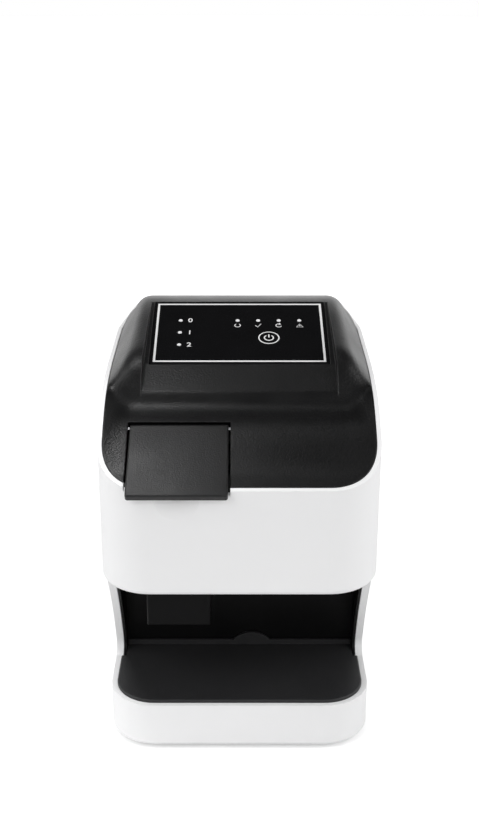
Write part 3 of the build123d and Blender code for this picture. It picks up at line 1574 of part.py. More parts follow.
def make_signal_board():
    """Board of the detector, on stand-offs over the chassis."""
    low, high = signal_board_corners()
    bottom = chassis_top_z + signal_post_height
    board = block((*low, bottom), (*high, bottom + board_thickness))
    top = bottom + board_thickness
    for x, y in signal_post_places():
        board -= rod_z(screw_radius + running_gap, bottom - overrun, top + overrun, x, y)
    chip_shares = [
        (0.30, 0.30, 0.34, 0.26, chip_height),
        (0.16, 0.66, 0.20, 0.14, 2 * chip_height),
        (0.56, 0.68, 0.26, 0.12, chip_height),
    ]
    return add_chips(board, (low, high), top, chip_shares)


def make_board_posts():
    """Stand-offs of the signal board."""
    group = []
    bottom = chassis_top_z + signal_post_height
    for x, y in signal_post_places():
        post = rod_z(post_radius, chassis_top_z, bottom, x, y)
        group.append(post + rod_z(screw_radius, bottom, bottom + board_thickness + overrun / 2, x, y))
    return Compound(children=group)


def make_plate_sensors():
    """Two fork light barriers beside the path, one above and one below the belts."""
    group = []
    right = right_plate_x
    left = right - sensor_reach
    root = right - sensor_base
    upper = upper_shaft_z + shaft_radius + sensor_clear
    lower = lower_shaft_z - shaft_radius - sensor_clear - sensor_height
    gap = nip_gap + moving_gap
    for low in (upper, lower):
        high = low + sensor_height
        fork = block((left, path_y - sensor_half, low), (right, path_y + sensor_half, high))
        fork -= block((left - overrun, path_y - gap, low - overrun), (root, path_y + gap, high + overrun))
        group.append(fork)
    return Compound(children=group)


pieces = {
    "head_shell": make_head_shell,
    "lower_housing": make_lower_housing,
    "top_cover": make_top_cover,
    "control_panel": make_control_panel,
    "panel_frame": make_panel_frame,
    "status_lenses": make_status_lenses,
    "power_key": make_power_key,
    "control_board": make_control_board,
    "light_lid": make_light_lid,
    "lid_hinge_pin": make_hinge_pin,
    "feed_slot": make_feed_slot,
    "size_slider": make_size_slider,
    "bay_liner": make_bay_liner,
    "outlet_chute": make_outlet_chute,
    "erase_board": make_erase_board,
    "heat_sink": make_heat_sink,
    "output_tray": make_output_tray,
    "bottom_plate": make_bottom_plate,
    "rubber_feet": make_rubber_feet,
    "rear_cover": make_rear_cover,
    "network_socket": make_network_socket,
    "usb_socket": make_usb_socket,
    "power_socket": make_power_socket,
    "main_board": make_main_board,
    "housing_screws": make_housing_screws,
    "board_screws": make_board_screws,
    "chassis_plate": make_chassis_plate,
    "left_side_plate": lambda: make_side_plate(left_plate_x, -1),
    "right_side_plate": lambda: make_side_plate(right_plate_x, 1),
    "tie_rods": make_tie_rods,
    "shaft_bearings": make_shaft_bearings,
    "upper_roller": lambda: make_roller(upper_shaft_z),
    "lower_roller": lambda: make_roller(lower_shaft_z),
    "shaft_gear": make_shaft_gear,
    "idler_gear": make_idler_gear,
    "idler_axle": make_idler_axle,
    "motor_pinion": make_motor_pinion,
    "drive_motor": make_drive_motor,
    "motor_bracket": make_motor_bracket,
    "transport_belts": make_transport_belts,
    "upper_pinch_roller": lambda: make_pinch_roller(upper_shaft_z),
    "lower_pinch_roller": lambda: make_pinch_roller(lower_shaft_z),
    "plate_sensors": make_plate_sensors,
    "curved_guide": make_curved_guide,
    "optics_bracket": make_optics_bracket,
    "laser_module": make_laser_module,
    "prism_motor": make_prism_motor,
    "prism_rotor": make_prism_rotor,
    "light_collector": make_light_collector,
    "blue_filter": make_blue_filter,
    "light_tube": make_light_tube,
    "tube_socket": make_tube_socket,
    "signal_board": make_signal_board,
    "board_posts": make_board_posts,
}

for piece_name, make_piece in pieces.items():
    save(piece_name, make_piece())
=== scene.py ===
# %% [markdown]
# # A phosphor plate scanner, dressed for its photograph
# The scanner reads the reusable image plates of a dental surgery: a plate goes in under the lid
# on the black top and lands on the tray in the bay below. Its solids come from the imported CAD
# model. They could be modelled once more here, but then the shapes would have two sources, so
# this lesson leaves them as they are. It gives them their finishes, adds the thin print of the
# control panel, and lights and frames the picture.

# %% Load the frame
import json
from math import cos, radians, sin

import bmesh
import bpy
from mathutils import Matrix, Vector


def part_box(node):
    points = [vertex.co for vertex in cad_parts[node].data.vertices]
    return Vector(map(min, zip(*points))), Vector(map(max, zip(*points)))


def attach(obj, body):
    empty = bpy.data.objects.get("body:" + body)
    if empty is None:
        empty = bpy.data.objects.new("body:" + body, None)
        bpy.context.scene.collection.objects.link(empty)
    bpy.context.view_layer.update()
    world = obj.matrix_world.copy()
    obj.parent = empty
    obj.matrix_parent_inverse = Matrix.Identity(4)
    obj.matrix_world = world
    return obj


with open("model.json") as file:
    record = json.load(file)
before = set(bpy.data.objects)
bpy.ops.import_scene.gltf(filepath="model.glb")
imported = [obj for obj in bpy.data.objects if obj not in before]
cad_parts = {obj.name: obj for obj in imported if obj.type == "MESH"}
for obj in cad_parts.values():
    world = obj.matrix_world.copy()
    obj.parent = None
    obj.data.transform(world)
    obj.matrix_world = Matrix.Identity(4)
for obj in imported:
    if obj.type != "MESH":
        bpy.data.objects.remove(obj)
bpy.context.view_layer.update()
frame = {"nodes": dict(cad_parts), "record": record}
nodes = frame["nodes"]
mm = 0.001
print("CAD solids loaded:", len(nodes))

# %% [markdown]
# ## The camera
# The photograph was taken from straight in front, a little above the object. A camera can be
# nudged by eye until the picture fits, but here its place and lens were worked out from the
# panel's frame line, because the four corners of that line are sharp in the picture.
# The sensor's 36 mm lie along the picture's long side, which is the upright one here.

# %% Place the camera
camera_distance = 685.8 * mm
camera_height = 423.4 * mm
camera_tilt = 69.6  # degrees up from straight down
camera_lens = 51.63  # millimetres, as on a real lens
sensor_size = 36.0  # millimetres

scene = bpy.context.scene
camera_data = bpy.data.cameras.new("photo_camera")
camera_data.lens = camera_lens
camera_data.sensor_width = sensor_size
camera = bpy.data.objects.new("photo_camera", camera_data)
camera.location = (0.0, -camera_distance, camera_height)
camera.rotation_euler = (radians(camera_tilt), 0.0, 0.0)
scene.collection.objects.link(camera)
scene.camera = camera
print("Camera looks down by", round(90 - camera_tilt, 1), "degrees")

# %% [markdown]
# ## The studio
# A product photograph on white has an even light from all round. One plain white world would
# give that, but it would also turn glossy black plastic grey where it mirrors the ceiling. So
# what a mirror ray meets is set apart: bright walls up to about 17 degrees over the horizon,
# then a fall to a dark ceiling at about 41 degrees. The ramp reads how steeply a ray climbs,
# as the sine of its angle.

# %% Make the walls and the ceiling that gloss mirrors
scene.view_settings.view_transform = "Standard"

wall_level = 1.6
wall_top = 0.30
ceiling_level = 0.02
ceiling_foot = 0.66
white = (1, 1, 1, 1)

world = bpy.data.worlds.new("white_studio")
scene.world = world
world.use_nodes = True
tree = world.node_tree
tree.nodes.clear()
coords = tree.nodes.new("ShaderNodeTexCoord")
climb = tree.nodes.new("ShaderNodeSeparateXYZ")
ramp = tree.nodes.new("ShaderNodeValToRGB")
walls, ceiling = ramp.color_ramp.elements
walls.position = wall_top
walls.color = (wall_level, wall_level, wall_level, 1)
ceiling.position = ceiling_foot
ceiling.color = (ceiling_level, ceiling_level, ceiling_level, 1)
mirrored = tree.nodes.new("ShaderNodeBackground")
tree.links.new(coords.outputs["Generated"], climb.inputs[0])
tree.links.new(climb.outputs["Z"], ramp.inputs["Fac"])
tree.links.new(ramp.outputs["Color"], mirrored.inputs["Color"])
print("Mirrored walls", wall_level, "and ceiling", ceiling_level)

# %% [markdown]
# Two more whites are needed: a softer one that only lights the object, and a full one that the
# camera sees behind it, directly or through glass. A Light Path node tells the three kinds of
# ray apart. Rendering on a transparent ground and filling it later would need a compositor.

# %% Sort the rays of the world
world_light = 0.50

output = tree.nodes.new("ShaderNodeOutputWorld")
path = tree.nodes.new("ShaderNodeLightPath")
light = tree.nodes.new("ShaderNodeBackground")
light.inputs["Color"].default_value = white
light.inputs["Strength"].default_value = world_light
seen = tree.nodes.new("ShaderNodeBackground")
seen.inputs["Color"].default_value = white
straight = tree.nodes.new("ShaderNodeMath")
straight.operation = "MAXIMUM"
mix_mirror = tree.nodes.new("ShaderNodeMixShader")
mix_camera = tree.nodes.new("ShaderNodeMixShader")
for source, target in (
    (path.outputs["Is Glossy Ray"], mix_mirror.inputs["Fac"]),
    (light.outputs[0], mix_mirror.inputs[1]),
    (mirrored.outputs[0], mix_mirror.inputs[2]),
    (path.outputs["Is Camera Ray"], straight.inputs[0]),
    (path.outputs["Is Transmission Ray"], straight.inputs[1]),
    (straight.outputs[0], mix_camera.inputs["Fac"]),
    (mix_mirror.outputs[0], mix_camera.inputs[1]),
    (seen.outputs[0], mix_camera.inputs[2]),
    (mix_camera.outputs[0], output.inputs["Surface"]),
):
    tree.links.new(source, target)
print("World ready with", len(tree.nodes), "nodes")

# %% [markdown]
# Two large soft lamps stand left and right of the camera, so that the round corners of the
# white housing are a little brighter than its flat front. Area lamps would leave the far floor
# grey, so these are suns with a wide angle, which light it evenly out to the horizon. A faint
# narrow one above and behind is mirrored by the lid and by the slope in front of the panel.

# %% Hang the wide lamps
lamps = [
    # name, degrees round from the front, degrees up, strength, degrees that the lamp fills
    ("left_softbox", -72, 36, 1.32, 50),
    ("right_softbox", 72, 36, 1.20, 50),
    ("rear_strip", 180, 78, 0.07, 14),
]
for name, azimuth, elevation, strength, across in lamps:
    data = bpy.data.lights.new(name, "SUN")
    data.energy = strength
    data.angle = radians(across)
    lamp = bpy.data.objects.new(name, data)
    turn = radians(azimuth)
    rise = radians(elevation)
    towards = Vector((sin(turn) * cos(rise), -cos(turn) * cos(rise), sin(rise)))
    lamp.rotation_euler = towards.to_track_quat("Z", "Y").to_euler()
    scene.collection.objects.link(lamp)
    print(name, "lights from", [round(v, 2) for v in towards])

# %% [markdown]
# The black top is brighter at its left than at its right. A far lamp can't do that, because it
# reaches every point from the same side, so one small round lamp hangs close by, at the left.
# A grid in front of it keeps its beam narrow, which is what the spread angle stands for.

# %% Hang the near lamp
disc_aim = Vector((-0.10, -0.125, 0.160))  # metres, as all places in Blender
disc_place = Vector((-0.20, -0.08, 0.74))
disc_width = 0.20
disc_power = 0.030  # watts
disc_beam = 20.0  # degrees

data = bpy.data.lights.new("left_disc", "AREA")
data.shape = "DISK"
data.size = disc_width
data.energy = disc_power
data.spread = radians(disc_beam)
lamp = bpy.data.objects.new("left_disc", data)
lamp.location = disc_place
lamp.rotation_euler = (disc_place - disc_aim).to_track_quat("Z", "Y").to_euler()
lamp.visible_camera = False
scene.collection.objects.link(lamp)
print("left_disc hangs", round((disc_place - disc_aim).length, 2), "m from the top")

# %% [markdown]
# The floor is a sheet of white paper that runs out of sight. A curved backdrop would do the
# same behind the object, but one wide disc works from every side. It glows a little, only for
# the camera, so that it meets the white world without a seam and still takes a soft shadow.

# %% Lay the floor
floor_radius = 12.0
floor_sides = 96
floor_glow = 0.38
paper_white = (0.87, 0.87, 0.87, 1)
paper_roughness = 0.9

mesh = bpy.data.meshes.new("floor")
form = bmesh.new()
bmesh.ops.create_circle(form, cap_ends=True, segments=floor_sides, radius=floor_radius)
form.to_mesh(mesh)
form.free()
floor = bpy.data.objects.new("floor", mesh)
scene.collection.objects.link(floor)

paper = bpy.data.materials.new("white_paper")
paper.use_nodes = True
tree = paper.node_tree
shader = tree.nodes["Principled BSDF"]
shader.inputs["Base Color"].default_value = paper_white
shader.inputs["Roughness"].default_value = paper_roughness
shader.inputs["Specular IOR Level"].default_value = 0.0
shader.inputs["Emission Color"].default_value = white
path = tree.nodes.new("ShaderNodeLightPath")
glow = tree.nodes.new("ShaderNodeMath")
glow.operation = "MULTIPLY"
glow.inputs[1].default_value = floor_glow
tree.links.new(path.outputs["Is Camera Ray"], glow.inputs[0])
tree.links.new(glow.outputs[0], shader.inputs["Emission Strength"])
mesh.materials.append(paper)
print("Floor laid, radius", floor_radius, "m")

# %% [markdown]
# ## Finishes
# Nearly every part of the scanner is a moulding, a metal sheet or a board, so a few small
# helpers make all the finishes. Painted image textures would need every solid unwrapped.
# Procedural patterns need none: each reads Object coordinates, and as all the parts sit at the
# origin, one scale gives the same size of grain on all of them.

# %% Helpers that start a finish


def start_finish(name, colour, roughness):
    """New material with its shader's base colour and roughness set."""
    finish = bpy.data.materials.new(name)
    finish.use_nodes = True
    shader = finish.node_tree.nodes["Principled BSDF"]
    shader.inputs["Base Color"].default_value = (*colour, 1)
    shader.inputs["Roughness"].default_value = roughness
    return finish


def coordinates(finish, stretch=(1, 1, 1)):
    """Object coordinates; an axis with a larger number has its pattern packed closer."""
    tree = finish.node_tree
    place = tree.nodes.new("ShaderNodeTexCoord")
    mapping = tree.nodes.new("ShaderNodeMapping")
    mapping.inputs["Scale"].default_value = stretch
    tree.links.new(place.outputs["Object"], mapping.inputs["Vector"])
    return mapping.outputs["Vector"]


def noise(finish, vector, scale, detail=3.0):
    """Noise between 0 and 1, its scale in features per metre."""
    tree = finish.node_tree
    node = tree.nodes.new("ShaderNodeTexNoise")
    node.inputs["Scale"].default_value = scale
    node.inputs["Detail"].default_value = detail
    tree.links.new(vector, node.inputs["Vector"])
    return node.outputs["Fac"]


print("Helpers ready: a finish, its coordinates and noise")

# %% [markdown]
# A pattern is only a number from 0 to 1. It becomes a finish when it varies the colour, the
# roughness or the height. Noise seldom leaves the middle of its range, so its middle part is
# stretched onto the values that are wanted, which a colour ramp could also do.

# %% Helpers for colour and roughness
noise_low = 0.3
noise_high = 0.7


def between(finish, factor, low, high):
    """Map the middle part of a factor onto a range of values."""
    tree = finish.node_tree
    node = tree.nodes.new("ShaderNodeMapRange")
    node.inputs["From Min"].default_value = noise_low
    node.inputs["From Max"].default_value = noise_high
    node.inputs["To Min"].default_value = low
    node.inputs["To Max"].default_value = high
    tree.links.new(factor, node.inputs["Value"])
    return node.outputs["Result"]


def set_roughness(finish, factor, low, high):
    """Let a factor vary the roughness between two values."""
    tree = finish.node_tree
    shader = tree.nodes["Principled BSDF"]
    tree.links.new(between(finish, factor, low, high), shader.inputs["Roughness"])


def tint(finish, factor, first, second):
    """Mix two colours by a factor into the base colour."""
    tree = finish.node_tree
    node = tree.nodes.new("ShaderNodeMix")
    node.data_type = "RGBA"
    node.inputs["A"].default_value = (*first, 1)
    node.inputs["B"].default_value = (*second, 1)
    tree.links.new(factor, node.inputs["Factor"])
    shader = tree.nodes["Principled BSDF"]
    tree.links.new(node.outputs["Result"], shader.inputs["Base Color"])


def shade(colour, share):
    """A colour made lighter or darker by a share."""
    return tuple(min(1.0, channel * share) for channel in colour)


print("Noise from", noise_low, "to", noise_high, "covers the whole range of a value")

# %% [markdown]
# No moulded or folded edge is sharp. Its small radius could be cut into every solid, but the
# solids stay as they are, so a Bevel node rounds the light on the edge instead. The grain is
# too fine to model and goes on top of it as a bump of a real depth.

# %% Helper for relief
edge_samples = 6


def relief(finish, height, depth, edge=0.0, strength=1.0):
    """Fine relief of a depth in metres, over edges rounded by a radius in metres."""
    tree = finish.node_tree
    bump = tree.nodes.new("ShaderNodeBump")
    bump.inputs["Distance"].default_value = depth
    bump.inputs["Strength"].default_value = strength
    tree.links.new(height, bump.inputs["Height"])
    if edge:
        soft_edge = tree.nodes.new("ShaderNodeBevel")
        soft_edge.samples = edge_samples
        soft_edge.inputs["Radius"].default_value = edge
        tree.links.new(soft_edge.outputs["Normal"], bump.inputs["Normal"])
    shader = tree.nodes["Principled BSDF"]
    tree.links.new(bump.outputs["Normal"], shader.inputs["Normal"])


print("Relief ready")

# %% [markdown]
# ### Moulded plastic
# A moulding shows the surface of its steel mould: spark-eroded steel leaves an even pebbled
# grain, and a polished one leaves only faint waves. On top of that, roughness wanders a little
# where hands have been. Each plastic could have a node tree of its own, but they differ only
# in numbers, so one function makes them all from the grain's size and depth, in metres:
# 8e-6 is eight thousandths of a millimetre.

# %% Moulded plastics
mottle_scale = 28.0
hand_wear = 0.05


def moulded(name, colour, roughness, grain, depth, specular, edge, mottle):
    """Moulded plastic with a pebbled grain, a faint mottle and softened edges."""
    finish = start_finish(name, colour, roughness)
    shader = finish.node_tree.nodes["Principled BSDF"]
    shader.inputs["Specular IOR Level"].default_value = specular
    place = coordinates(finish)
    wide = noise(finish, place, mottle_scale, detail=4.0)
    fine = noise(finish, place, grain, detail=2.0)
    tint(finish, wide, shade(colour, 1 - mottle), shade(colour, 1 + mottle))
    set_roughness(finish, wide, roughness - hand_wear, roughness + hand_wear)
    relief(finish, fine, depth, edge)
    return finish


mouldings = [
    # name, colour, roughness, grains per metre, their depth, specular, softened edge, mottle
    ("white_housing", (0.86, 0.86, 0.865), 0.34, 900.0, 8e-6, 0.50, 0.5e-3, 0.012),
    ("black_cover", (0.0034, 0.0034, 0.0037), 0.35, 900.0, 160e-6, 0.42, 0.9e-3, 0.06),
    ("black_lid", (0.0034, 0.0034, 0.0037), 0.36, 1200.0, 100e-6, 0.37, 0.7e-3, 0.06),
    # black_bay is painted darker than the cover's plastic: painted shade deep in the bay.
    ("black_bay", (0.0016, 0.0016, 0.0018), 0.42, 2600.0, 50e-6, 0.12, 0.4e-3, 0.06),
    # The tray's colour is painted far lighter than the bay's plastic: painted light on the
    # tray.
    ("black_tray", (0.019, 0.019, 0.020), 0.45, 1400.0, 80e-6, 0.30, 0.4e-3, 0.06),
    ("chute_plastic", (0.0020, 0.0020, 0.0022), 0.42, 1800.0, 30e-6, 0.10, 0.4e-3, 0.06),
    ("socket_plastic", (0.018, 0.018, 0.020), 0.45, 2200.0, 30e-6, 0.50, 0.4e-3, 0.06),
    ("gear_plastic", (0.78, 0.75, 0.66), 0.42, 1400.0, 20e-6, 0.50, 0.4e-3, 0.06),
]
finishes = {name: moulded(name, *values) for name, *values in mouldings}
print("Mouldings:", sorted(finishes))

# %% [markdown]
# ### The glossy panel and its key
# The overlay of the panel is a smooth black film. A plain mirror-black would look like paint,
# so it gets the faint waves of the glue below and a few hair-fine marks from wiping, which
# change only its roughness.

# %% Glossy film
film_specular = 0.45
wave_scale = 60.0
wave_depth = 15e-6
wipe_scale = 220.0
wipe_stretch = (1.0, 9.0, 9.0)
film_edge = 0.2e-3


def glossy_film(name, colour, roughness):
    """Smooth black film with faint waves and fine wiping marks."""
    finish = start_finish(name, colour, roughness)
    shader = finish.node_tree.nodes["Principled BSDF"]
    shader.inputs["Specular IOR Level"].default_value = film_specular
    waves = noise(finish, coordinates(finish), wave_scale, detail=1.0)
    wiping = noise(finish, coordinates(finish, wipe_stretch), wipe_scale, detail=4.0)
    tint(finish, waves, shade(colour, 0.85), shade(colour, 1.2))
    set_roughness(finish, wiping, roughness, roughness + 0.08)
    relief(finish, waves, wave_depth, film_edge)
    return finish


finishes["panel_gloss"] = glossy_film("panel_gloss", (0.0045, 0.0045, 0.0050), 0.09)
finishes["key_gloss"] = glossy_film("key_gloss", (0.0050, 0.0050, 0.0055), 0.12)
print("Films:", finishes["panel_gloss"].name, finishes["key_gloss"].name)

# %% [markdown]
# ### Ink
# Screen print is a flat pale ink with a slightly dry surface, pressed through a mesh, so its
# cover is a little uneven. An even pale colour would pass from afar; fine noise in the colour
# and a trace of height make it hold up close by.

# %% Screen ink
ink_roughness = 0.6
ink_scale = 1500.0
ink_depth = 4e-6


def screen_ink(name, colour):
    """Dry screen-printed ink, a little uneven in its cover."""
    finish = start_finish(name, colour, ink_roughness)
    cover = noise(finish, coordinates(finish), ink_scale)
    tint(finish, cover, shade(colour, 0.9), shade(colour, 1.06))
    relief(finish, cover, ink_depth)
    return finish


finishes["pale_print"] = screen_ink("pale_print", (0.80, 0.80, 0.80))
print("Ink:", finishes["pale_print"].name)

# %% [markdown]
# ### Cloudy lenses
# The small round lights are pipes of cloudy plastic that lead light up from lamps on a board.
# They are unlit here. Glass would look too clear and plain white too hard, so they get a smooth
# face and a little subsurface scatter of about a millimetre.

# %% Cloudy lens
lens_roughness = 0.16
lens_scatter = 0.3
cloud_scale = 700.0
cloud_depth = 10e-6


def cloudy_lens(name, colour):
    """Cloudy light pipe with a smooth face."""
    finish = start_finish(name, colour, lens_roughness)
    shader = finish.node_tree.nodes["Principled BSDF"]
    shader.inputs["Subsurface Weight"].default_value = lens_scatter
    shader.inputs["Subsurface Radius"].default_value = (mm, mm, mm)
    clouds = noise(finish, coordinates(finish), cloud_scale)
    tint(finish, clouds, shade(colour, 0.85), shade(colour, 1.1))
    relief(finish, clouds, cloud_depth)
    return finish


finishes["lens"] = cloudy_lens("lens", (0.84, 0.84, 0.85))
print("Lens:", finishes["lens"].name)

# %% [markdown]
# ### Turned and drawn metal
# Shafts, plates and cans are bare metal with fine lines from the tool, round or along the part.
# The shader's anisotropy could bend the highlight alone, but then no line is seen close by.
# Noise that is packed closer along two axes draws lines along the third.

# %% Bare metals
metal_edge = 0.2e-3
stain_scale = 45.0


def metal(name, colour, roughness, stretch, scale, depth):
    """Bare metal whose fine lines run along the axis with the smallest stretch."""
    finish = start_finish(name, colour, roughness)
    finish.node_tree.nodes["Principled BSDF"].inputs["Metallic"].default_value = 1.0
    lines = noise(finish, coordinates(finish, stretch), scale)
    stains = noise(finish, coordinates(finish), stain_scale)
    tint(finish, stains, shade(colour, 0.88), shade(colour, 1.06))
    set_roughness(finish, lines, roughness - 0.08, roughness + 0.10)
    relief(finish, lines, depth, metal_edge)
    return finish


metals = [
    # name, colour, roughness, stretch, lines per metre, their depth
    ("steel", (0.58, 0.58, 0.60), 0.28, (1, 14, 14), 700.0, 10e-6),
    ("aluminium", (0.76, 0.76, 0.78), 0.32, (1, 1, 18), 500.0, 10e-6),
    ("brass", (0.72, 0.53, 0.24), 0.28, (12, 1, 12), 700.0, 10e-6),
    ("motor_can", (0.52, 0.52, 0.54), 0.30, (1, 12, 12), 600.0, 10e-6),
    ("mirror", (0.90, 0.90, 0.92), 0.10, (6, 6, 1), 200.0, 2e-6),
]
for name, *values in metals:
    finishes[name] = metal(name, *values)
print("Metals:", [name for name, *values in metals])

# %% [markdown]
# ### Zinc coated sheet
# Zinc freezes on steel in flat crystals, the spangles, each with its own grey and gloss. A
# Voronoi texture divides space into just such cells and gives each a colour of its own; noise
# would blur them into clouds.

# %% Spangled sheet
spangle_scale = 190.0
spangle_depth = 10e-6


def spangled(name, colour, roughness):
    """Zinc coated sheet: flat crystals, each with its own grey and gloss."""
    finish = start_finish(name, colour, roughness)
    tree = finish.node_tree
    tree.nodes["Principled BSDF"].inputs["Metallic"].default_value = 1.0
    cells = tree.nodes.new("ShaderNodeTexVoronoi")
    cells.inputs["Scale"].default_value = spangle_scale
    tree.links.new(coordinates(finish), cells.inputs["Vector"])
    grey = tree.nodes.new("ShaderNodeRGBToBW")
    tree.links.new(cells.outputs["Color"], grey.inputs["Color"])
    tint(finish, grey.outputs["Val"], shade(colour, 0.80), shade(colour, 1.10))
    set_roughness(finish, grey.outputs["Val"], roughness - 0.08, roughness + 0.12)
    relief(finish, cells.outputs["Distance"], spangle_depth, metal_edge, strength=0.5)
    return finish


finishes["zinc"] = spangled("zinc", (0.62, 0.64, 0.66), 0.38)
print("Zinc: crystals of about", round(1 / spangle_scale / mm, 1), "mm")

# %% [markdown]
# ### Rubber and belts
# The feet and the rollers are soft rubber with a chalky bloom. The belts are ribbed across
# their run: real teeth would be hundreds of small faces deep inside the housing, so a wave
# texture raises the ribs there.

# %% Rubber and belts
bloom_scale = 140.0
rubber_grain = 2400.0
rubber_depth = 40e-6
rubber_edge = 0.3e-3
belt_ribs = 160.0


def rubber(name, colour, roughness, ribs=0.0):
    """Soft rubber with a chalky bloom, and ribs across the run where it is a belt."""
    finish = start_finish(name, colour, roughness)
    tree = finish.node_tree
    place = coordinates(finish)
    bloom = noise(finish, place, bloom_scale, detail=5.0)
    tint(finish, bloom, shade(colour, 0.8), shade(colour, 1.5))
    set_roughness(finish, bloom, roughness - 0.08, roughness + 0.08)
    if ribs:
        wave = tree.nodes.new("ShaderNodeTexWave")
        wave.bands_direction = "Z"
        wave.inputs["Scale"].default_value = ribs
        tree.links.new(place, wave.inputs["Vector"])
        height = wave.outputs["Fac"]
    else:
        height = noise(finish, place, rubber_grain, detail=2.0)
    relief(finish, height, rubber_depth, rubber_edge)
    return finish


finishes["rubber"] = rubber("rubber", (0.022, 0.022, 0.023), 0.72)
finishes["roller_rubber"] = rubber("roller_rubber", (0.045, 0.045, 0.048), 0.62)
finishes["belt"] = rubber("belt", (0.03, 0.03, 0.03), 0.6, belt_ribs)
print("Rubbers ready, finishes so far:", len(finishes))

# %% [markdown]
# ### Circuit board
# A board is green lacquer over copper: the tracks below show as slightly lighter, raised lines.
# A drawn layout would be an image. The mortar of a brick texture runs in the same straight
# lines and turns, so it stands for the tracks here.

# %% Circuit board
track_scale = 130.0
track_width = 0.06
track_height = 30e-6
lacquer_roughness = 0.32
lacquer_scale = 300.0


def circuit_board(name, lacquer, copper):
    """Green lacquer over copper tracks."""
    finish = start_finish(name, lacquer, lacquer_roughness)
    tree = finish.node_tree
    bricks = tree.nodes.new("ShaderNodeTexBrick")
    bricks.inputs["Scale"].default_value = track_scale
    bricks.inputs["Mortar Size"].default_value = track_width
    bricks.inputs["Color1"].default_value = (0, 0, 0, 1)
    bricks.inputs["Color2"].default_value = (0.25, 0.25, 0.25, 1)
    bricks.inputs["Mortar"].default_value = white
    tree.links.new(coordinates(finish), bricks.inputs["Vector"])
    grey = tree.nodes.new("ShaderNodeRGBToBW")
    tree.links.new(bricks.outputs["Color"], grey.inputs["Color"])
    tint(finish, grey.outputs["Val"], lacquer, copper)
    gloss = noise(finish, coordinates(finish), lacquer_scale)
    set_roughness(finish, gloss, lacquer_roughness - 0.06, lacquer_roughness + 0.08)
    relief(finish, grey.outputs["Val"], track_height)
    return finish


finishes["board"] = circuit_board("board", (0.012, 0.10, 0.045), (0.04, 0.20, 0.09))
print("Board:", finishes["board"].name)

# %% [markdown]
# ### Glass
# The optics use clear, blue and coated glass. A glass shader would do for the clear one, but
# the coated tube lets only part of the light through, so all three use the transmission of the
# main shader, each with its own tint and a trace of unevenness in the polish.

# %% Glasses
glass_bend = 1.5
polish_scale = 90.0
polish_depth = 2e-6


def glass(name, colour, roughness, clear):
    """Polished optical glass, more or less clear."""
    finish = start_finish(name, colour, roughness)
    shader = finish.node_tree.nodes["Principled BSDF"]
    shader.inputs["Transmission Weight"].default_value = clear
    shader.inputs["IOR"].default_value = glass_bend
    polish = noise(finish, coordinates(finish), polish_scale, detail=2.0)
    tint(finish, polish, shade(colour, 0.94), colour)
    set_roughness(finish, polish, roughness, roughness + 0.03)
    relief(finish, polish, polish_depth)
    return finish


finishes["glass"] = glass("glass", (0.88, 0.94, 0.96), 0.02, 1.0)
finishes["blue_glass"] = glass("blue_glass", (0.06, 0.16, 0.75), 0.03, 0.9)
finishes["tube_glass"] = glass("tube_glass", (0.55, 0.38, 0.20), 0.06, 0.4)
print("Finishes made:", len(finishes))

# %% [markdown]
# ## Dress the CAD solids
# Each solid names its finish in the record. The materials could be dropped on the solids by
# hand, over fifty times, but one loop does it and misses none. The lid is the same plastic as
# the cover, but from a mould with another texture, so it gets a finish of its own. The tray is
# the same plastic as the bay, from another mould too, and its finish is also painted much
# lighter than the bay's: painted light on the tray.

# %% Assign the finishes
slot_of = {part["node"]: part["material_slot"] for part in frame["record"]["subparts"]}
# The tray's finish is a lighter copy of the bay's plastic: painted light.
slot_of["output_tray"] = "black_tray"
slot_of["light_lid"] = "black_lid"
for node_name, node in nodes.items():
    finish = finishes[slot_of[node_name]]
    for material_slot in node.material_slots:
        material_slot.material = finish
print("Solids dressed:", len(slot_of))

# %% [markdown]
# ## Print on the control panel
# The panel's print is a hair thick. It could be a mask in the film's material, but as a thin
# mesh it stays sharp close by, and the part on the key can move with it. It is drawn flat, with
# X to the right and Y up the slope, then turned and moved onto the panel, which leans back by
# 17.9 degrees.

# %% The panel's plane
panel_tilt = radians(17.9)
panel_length = 65.6 * mm
ink_lift = 0.02 * mm

panel_low, panel_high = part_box("control_panel")
panel_origin = Vector((0, panel_low.y, panel_high.z - panel_length * sin(panel_tilt)))
panel_turn = Matrix.Rotation(panel_tilt, 4, "X")
panel_middle = Matrix.Translation((0, panel_length / 2, 0))
panel_place = Matrix.Translation(panel_origin) @ panel_turn @ panel_middle
print("Panel centre in mm:", [round(v / mm, 1) for v in panel_place.translation])

# %% [markdown]
# Text and curves can't be exported as they are, and a finished piece must sit at the origin.
# So each drawing is made a mesh, its place is put into the mesh, and it is told which body
# carries it. One helper does this for every digit and sign.

# %% Turn a drawing into ink


def settle(obj, place, body):
    """Make a curve or text a mesh, put its place into the mesh, and let it ride on a body."""
    evaluated = obj.evaluated_get(bpy.context.evaluated_depsgraph_get())
    mesh = bpy.data.meshes.new_from_object(evaluated)
    name = obj.name
    bpy.data.objects.remove(obj)
    mesh.transform(place)
    mesh.materials.clear()
    mesh.materials.append(finishes["pale_print"])
    piece = bpy.data.objects.new(name, mesh)
    scene.collection.objects.link(piece)
    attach(piece, body)
    return piece


print("Ink lies", round(ink_lift / mm, 2), "mm over the panel")

# %% [markdown]
# The column at the left numbers the plate's sizes, one digit beside each lens. Digits could be
# drawn as strokes, but the built-in font already has their curves. A small offset fattens them,
# as ink spreads a little when it is pressed on.

# %% Print the digits
digit_x = -30.0 * mm
digit_rows = {"0": 12.2 * mm, "1": -0.8 * mm, "2": -13.6 * mm}
digit_size = 5.8 * mm
digit_height = 0.03 * mm
digit_swell = 0.06 * mm

